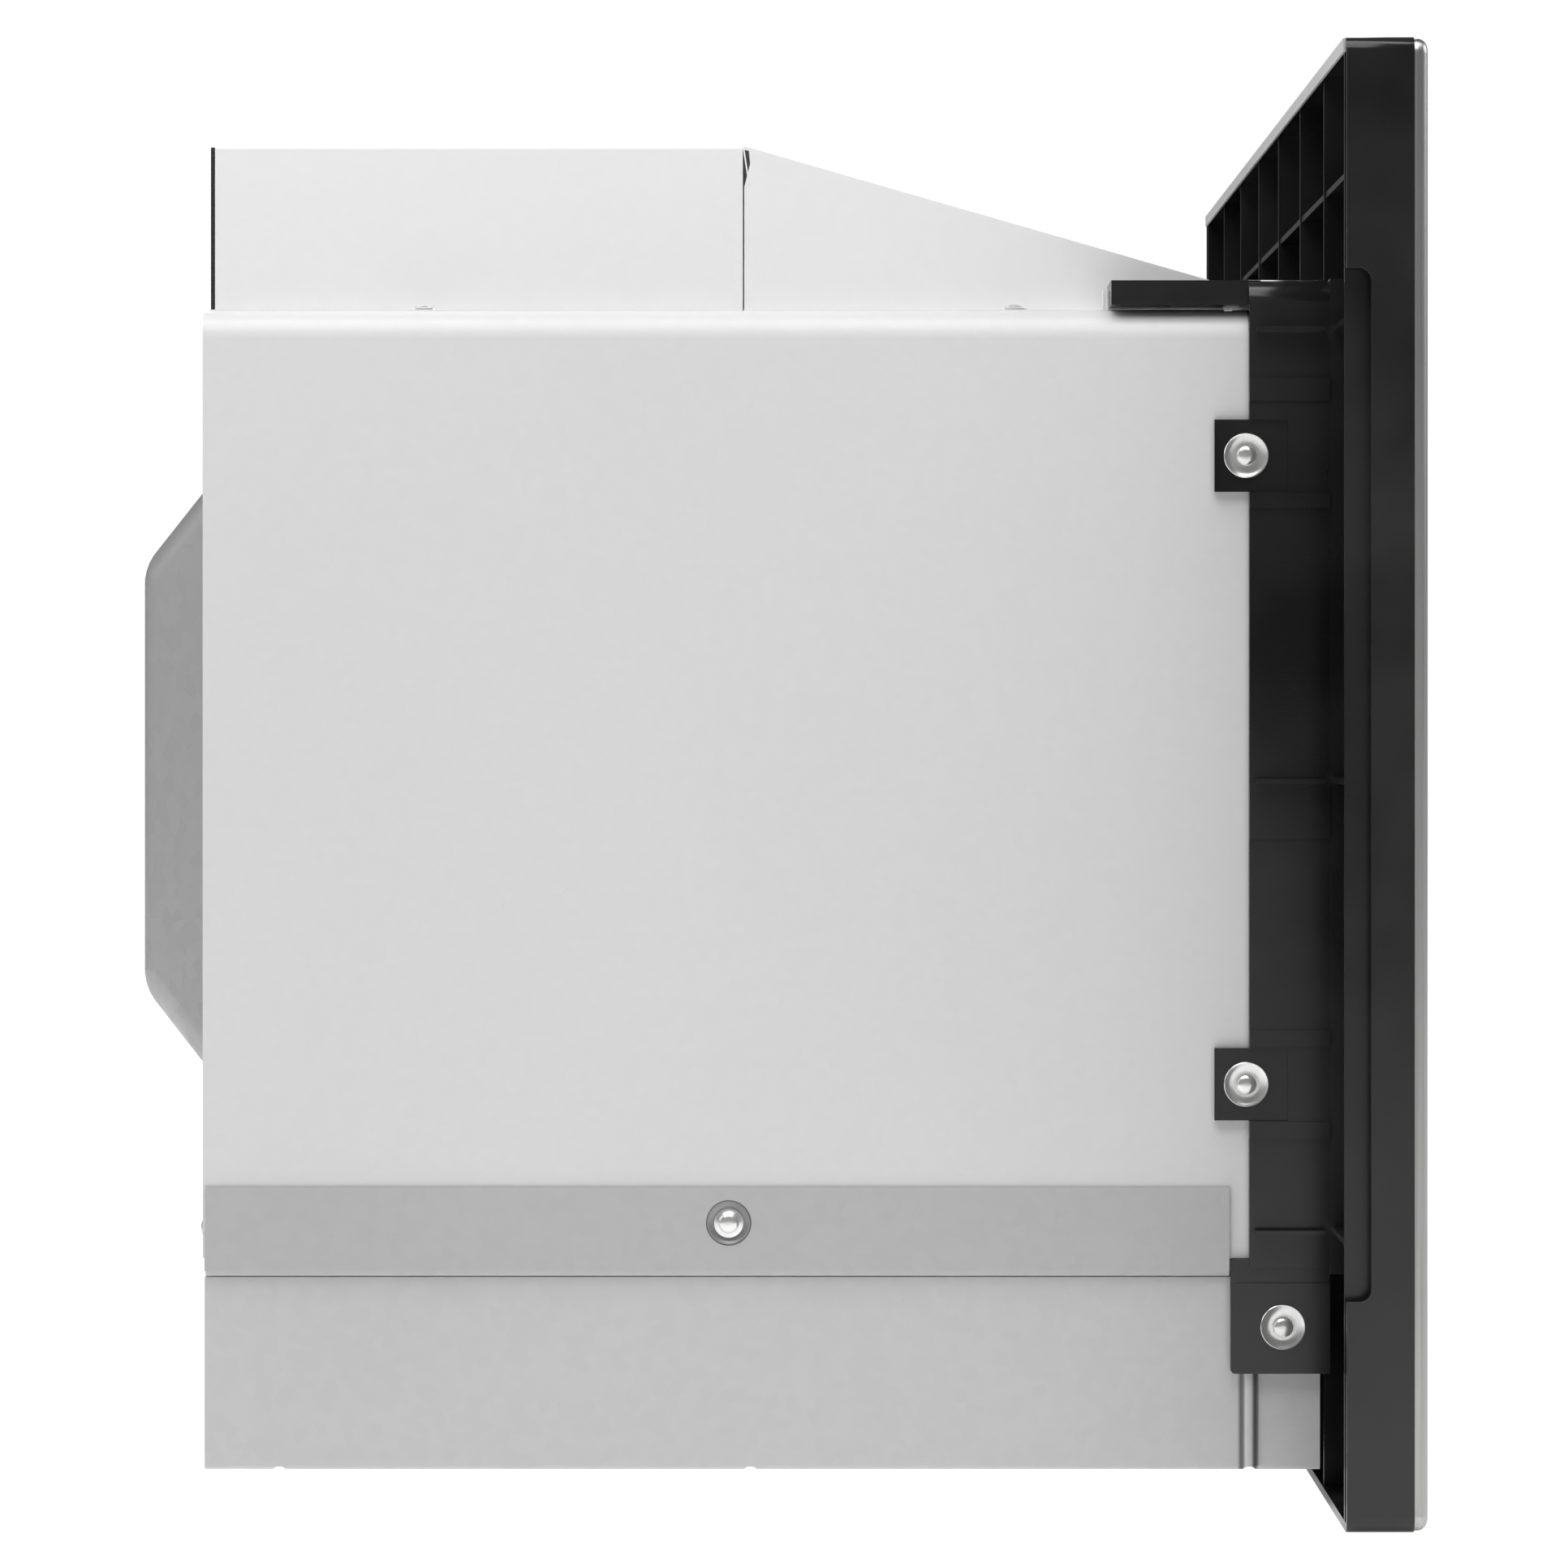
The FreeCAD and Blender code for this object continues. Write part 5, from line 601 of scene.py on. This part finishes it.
glow_tree.links.new(blend_colour(glow_tree, glow_dots.outputs["Distance"], (0.25, 0.95, 0.80, 1),
                                 (0.12, 0.70, 0.60, 1)),
                    glow_shader.inputs["Emission Color"])
glow_tree.links.new(blend_colour(glow_tree, glow_dots.outputs["Distance"], (0.10, 0.40, 0.34, 1),
                                 (0.06, 0.30, 0.26, 1)),
                    glow_shader.inputs["Base Color"])
finished_piece("clock_figures", clock_form, glow, "cabinet")


def circuit_board(name, mask, track):
    """Green solder mask with a faint grid of tracks."""
    material, tree, shader, place = start_finish(name)
    tracks = put(tree, "ShaderNodeTexBrick", {"Vector": place},
                 {"Scale": 120.0, "Color1": mask, "Color2": tuple(c * 1.25 for c in mask[:3]) + (1,),
                  "Mortar": track})
    tree.links.new(tracks.outputs["Color"], shader.inputs["Base Color"])
    tree.links.new(spread(tree, tracks.outputs["Fac"], 0, 1, 0.35, 0.25), shader.inputs["Roughness"])
    raise_relief(tree, shader, tracks.outputs["Fac"], 0.00008)
    return material


coat(circuit_board("board_mask", (0.03, 0.12, 0.05, 1), (0.16, 0.22, 0.08, 1)), "control_board", "noise_filter_board")


# ---------------------------------------------------------------- latch bracket and switches
# Zinc-plated bracket inside the right of the cavity, with three snap switches in pale phenolic.

coat(sheet_steel("bracket_zinc", (0.50, 0.51, 0.51, 1), (0.42, 0.43, 0.43, 1), 260.0, 0.5, 0.4, metallic=0.5),
     "latch_bracket", "waveguide")
coat(moulding("switch_phenolic", (0.50, 0.45, 0.36, 1), 0.55), "interlock_switches")


# ---------------------------------------------------------------- cooking cavity
# Painted steel inside, fine-grained and pale grey, with a mica sheet over the waveguide's mouth.

coat(sheet_steel("cavity_paint", (0.42, 0.415, 0.40, 1), (0.36, 0.355, 0.34, 1), 900.0, 0.5, 0.4,
                 peel_size=1500.0), "cavity_liner")
mica, mica_tree, mica_shader, mica_place = start_finish("mica_sheet", 0.0, Roughness=0.35)
mica_flakes = put(mica_tree, "ShaderNodeTexVoronoi", {"Vector": mica_place}, {"Scale": 160.0})
mica_tree.links.new(blend_colour(mica_tree, mica_flakes.outputs["Distance"], (0.36, 0.31, 0.22, 1),
                                 (0.52, 0.47, 0.36, 1)),
                    mica_shader.inputs["Base Color"])
raise_relief(mica_tree, mica_shader, mica_flakes.outputs["Distance"], 0.00005)
coat(mica, "waveguide_cover")


# ---------------------------------------------------------------- turntable
# A pressed glass tray on a moulded ring with three rollers, turned by a coupler on a small gear motor.

coat(tinted_glass("tray_pressed_glass", (0.93, 0.97, 0.96, 1), 0.02), "glass_tray")
coat(moulding("ring_nylon", (0.42, 0.40, 0.35, 1), 0.5), "roller_ring")
coat(acetal, "roller_1", "roller_2", "roller_3")
coat(sheet_steel("motor_zinc", (0.48, 0.48, 0.47, 1), (0.40, 0.40, 0.39, 1), 400.0, 0.4, 0.38, metallic=0.6),
     "turntable_motor", "fan_motor", "magnetron_yoke")


# ---------------------------------------------------------------- microwave source, transformer and fan
# The works behind the control panel: magnetron, transformer, capacitor, filter and a shaded-pole fan.

coat(brushed_metal("fin_sheet", (0.75, 0.75, 0.76, 1), (0.62, 0.62, 0.63, 1), 0.35, (800, 20, 800)), "magnetron_fins")
coat(brushed_metal("tube_metal", (0.62, 0.36, 0.22, 1), (0.50, 0.28, 0.17, 1), 0.32, (20, 900, 900)),
     "magnetron_tube")
coat(brushed_metal("can_drawn_metal", (0.70, 0.70, 0.71, 1), (0.60, 0.60, 0.61, 1), 0.3, (900, 900, 12)),
     "hv_capacitor")

stack, stack_tree, stack_shader, stack_place = start_finish("steel_lamination", 0.6, Roughness=0.5)
leaves = put(stack_tree, "ShaderNodeTexWave", {"Vector": stack_place}, {"Scale": 320.0, "Distortion": 0.4},
             bands_direction="Y")
stack_tree.links.new(blend_colour(stack_tree, leaves.outputs["Fac"], (0.07, 0.07, 0.075, 1), (0.16, 0.16, 0.165, 1)),
                     stack_shader.inputs["Base Color"])
raise_relief(stack_tree, stack_shader, leaves.outputs["Fac"], 0.0002)
coat(stack, "transformer_core")
winding, winding_tree, winding_shader, winding_place = start_finish("enamelled_wire", 0.8, Roughness=0.3)
turns = put(winding_tree, "ShaderNodeTexWave", {"Vector": winding_place}, {"Scale": 180.0}, bands_direction="Z")
winding_tree.links.new(blend_colour(winding_tree, turns.outputs["Fac"], (0.22, 0.08, 0.03, 1), (0.62, 0.28, 0.12, 1)),
                       winding_shader.inputs["Base Color"])
raise_relief(winding_tree, winding_shader, turns.outputs["Fac"], 0.0005)
coat(winding, "transformer_windings")

coat(moulding("fan_grey", (0.07, 0.07, 0.072, 1), 0.5), "fan_shroud", "fan_blade", "lamp_holder")
coat(tinted_glass("lamp_clear_glass", (0.97, 0.96, 0.92, 1), 0.02), "cavity_lamp")
coat(moulding("cutout_ceramic_body", (0.62, 0.60, 0.55, 1), 0.6), "thermal_cutout")
coat(moulding("gland_rubber_black", (0.016, 0.016, 0.016, 1), 0.65, grain_depth=0.00005), "cord_gland")


# ---------------------------------------------------------------- screws and washers
# Zinc-plated pan-head screws with a cross recess, cold-headed from wire. The collar's sit on plain stamped
# washers; those of the duct, base plate and rear panel have a flange of their own, in a cup on the base plate.

screw_grooves = [(0.0019 if i % 2 else 0.0015, -0.0070 + 0.0004 * i) for i in range(16)]
pan_crown = [(0.0034, 0.0009), (0.00325, 0.00135), (0.0029, 0.00175), (0.0023, 0.00208), (0.0015, 0.0023),
             (0.00075, 0.00238), (0, 0.0024)]


def turned_form(profile, closed=False):
    """A mesh spun once round Z from points of (radius, height)."""
    form = bmesh.new()
    points = [form.verts.new((radius, 0, height)) for radius, height in profile]
    ends = points[1:] + points[:1] if closed else points[1:]
    lines = [form.edges.new(pair) for pair in zip(points, ends)]
    bmesh.ops.spin(form, geom=points + lines, cent=(0, 0, 0), axis=(0, 0, 1), dvec=(0, 0, 0),
                   angle=math.tau, steps=40, use_merge=True, use_duplicate=False)
    bmesh.ops.remove_doubles(form, verts=form.verts, dist=0.000002)
    bmesh.ops.recalc_face_normals(form, faces=form.faces)
    return form


def cross_recess(form, arm=0.0023, half=0.00062, depth=0.0022, above=0.0016):
    """Sinks a cross into the crown of a screw head."""
    for across in (Vector((1, 0, 0)), Vector((0, 1, 0))):
        for offset in (-arm, -half, half, arm):
            crown = [face for face in form.faces if face.calc_center_median().z > above - 0.0004]
            touched = {v for face in crown for v in face.verts} | {e for face in crown for e in face.edges}
            bmesh.ops.bisect_plane(form, geom=crown + list(touched), dist=0.0000005,
                                   plane_co=across * offset, plane_no=across)
    inside = []
    for face in form.faces:
        middle = face.calc_center_median()
        short, long = sorted((abs(middle.x), abs(middle.y)))
        if middle.z > above and short < half and long < arm:
            inside.append(face)
    sunk = bmesh.ops.extrude_face_region(form, geom=inside)
    moved = [item for item in sunk["geom"] if isinstance(item, bmesh.types.BMVert)]
    bmesh.ops.scale(form, verts=moved, vec=(0.72, 0.72, 1))
    bmesh.ops.translate(form, verts=moved, vec=(0, 0, -depth))


def set_of(name, blank, places, finish, slot, body, *replaced):
    """One piece made of copies of a blank, each stood on a point and turned to face outwards."""
    blank_mesh = bpy.data.meshes.new(name + "_blank")
    blank.to_mesh(blank_mesh)
    blank.free()
    joined = bmesh.new()
    for order, (point, outward) in enumerate(places):
        before = set(joined.verts)
        joined.from_mesh(blank_mesh)
        stand = Vector((0, 0, 1)).rotation_difference(Vector(outward)).to_matrix().to_4x4()
        twist = Matrix.Rotation(math.radians(17 + 53 * order), 4, "Z")
        fresh = [v for v in joined.verts if v not in before]
        bmesh.ops.transform(joined, matrix=Matrix.Translation(point) @ stand @ twist, verts=fresh)
    for face in joined.faces:
        face.smooth = True
    for edge in joined.edges:
        edge.smooth = len(edge.link_faces) == 2 and edge.calc_face_angle() < math.radians(38)
    piece = finished_piece(name, joined, finish, body)
    if replaced:
        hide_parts(*replaced)
    return piece


zinc_plate = brushed_metal("zinc_plate", (0.90, 0.90, 0.89, 1), (0.78, 0.78, 0.77, 1), 0.22, (120, 120, 120),
                           depth=0.000001, metallic=0.7)
collar_seat_y = -0.162
bracket_seat_y = -0.1742
plain_screw = turned_form([(0, -0.008), (0.0012, -0.0076)] + screw_grooves + [(0.0019, -0.0002),
                                                                              (0.0034, 0)] + pan_crown)
cross_recess(plain_screw)
seats = []
for side in (-1, 1):
    seats += [((side * 0.3098, collar_seat_y, height), (side, 0, 0)) for height in (0.3398, 0.1294)]
    seats.append(((side * 0.3106, bracket_seat_y, 0.0483), (side, 0, 0)))
set_of("collar_pan_screws", plain_screw, seats, zinc_plate, "screw_zinc", "cabinet", "collar_screws")

washer = turned_form([(0.0021, 0), (0.0072, 0), (0.0075, 0.00025), (0.0075, 0.0008), (0.0073, 0.001),
                      (0.0066, 0.0008), (0.0060, 0.00045), (0.0040, 0.0004), (0.0024, 0.0005), (0.0021, 0.0004)],
                     closed=True)
set_of("collar_stamped_washers", washer,
       [((point[0] - outward[0] * 0.001, point[1], point[2]), outward) for point, outward in seats],
       zinc_plate, "screw_zinc", "cabinet", "collar_washers")


def flanged_screw():
    """A pan head on a flange of its own."""
    form = turned_form([(0, -0.008), (0.0012, -0.0076)] + screw_grooves +
                       [(0.0019, -0.0002), (0.0047, 0), (0.005, 0.0002), (0.0049, 0.0007),
                        (0.0036, 0.00095)] + pan_crown[1:])
    cross_recess(form)
    return form


set_of("duct_flange_screws", flanged_screw(),
       [((side * 0.279225, y, 0.390), (0, 0, 1)) for side in (-1, 1) for y in (0.115, -0.085)],
       zinc_plate, "screw_zinc", "cabinet", "duct_screws")
base_seats = [((side * 0.3069, 0.0112, 0.0829), (side, 0, 0)) for side in (-1, 1)]
set_of("base_flange_screws", flanged_screw(), base_seats, zinc_plate, "screw_zinc", "cabinet", "base_screws")
# The cup rings get a darker zinc than the base plate: painted shade standing in for the shade inside each stamped
# cup.
cup_ring = turned_form([(0.0051, 0), (0.0052, 0.0001), (0.0062, 0.00022), (0.0068, 0.0007), (0.0072, 0.0007),
                        (0.0075, 0.0003), (0.0075, 0)], closed=True)
set_of("base_cup_washers", cup_ring, base_seats,
       brushed_metal("cup_zinc_painted_shade", (0.34, 0.34, 0.34, 1), (0.26, 0.26, 0.26, 1), 0.34, (120, 120, 120), depth=0.000001,
                     metallic=0.45), "screw_zinc", "cabinet")
set_of("rear_flange_screws", flanged_screw(), [((side * 0.292, 0.187, 0.080), (0, 1, 0)) for side in (-1, 1)],
       zinc_plate, "screw_zinc", "cabinet", "rear_screws")
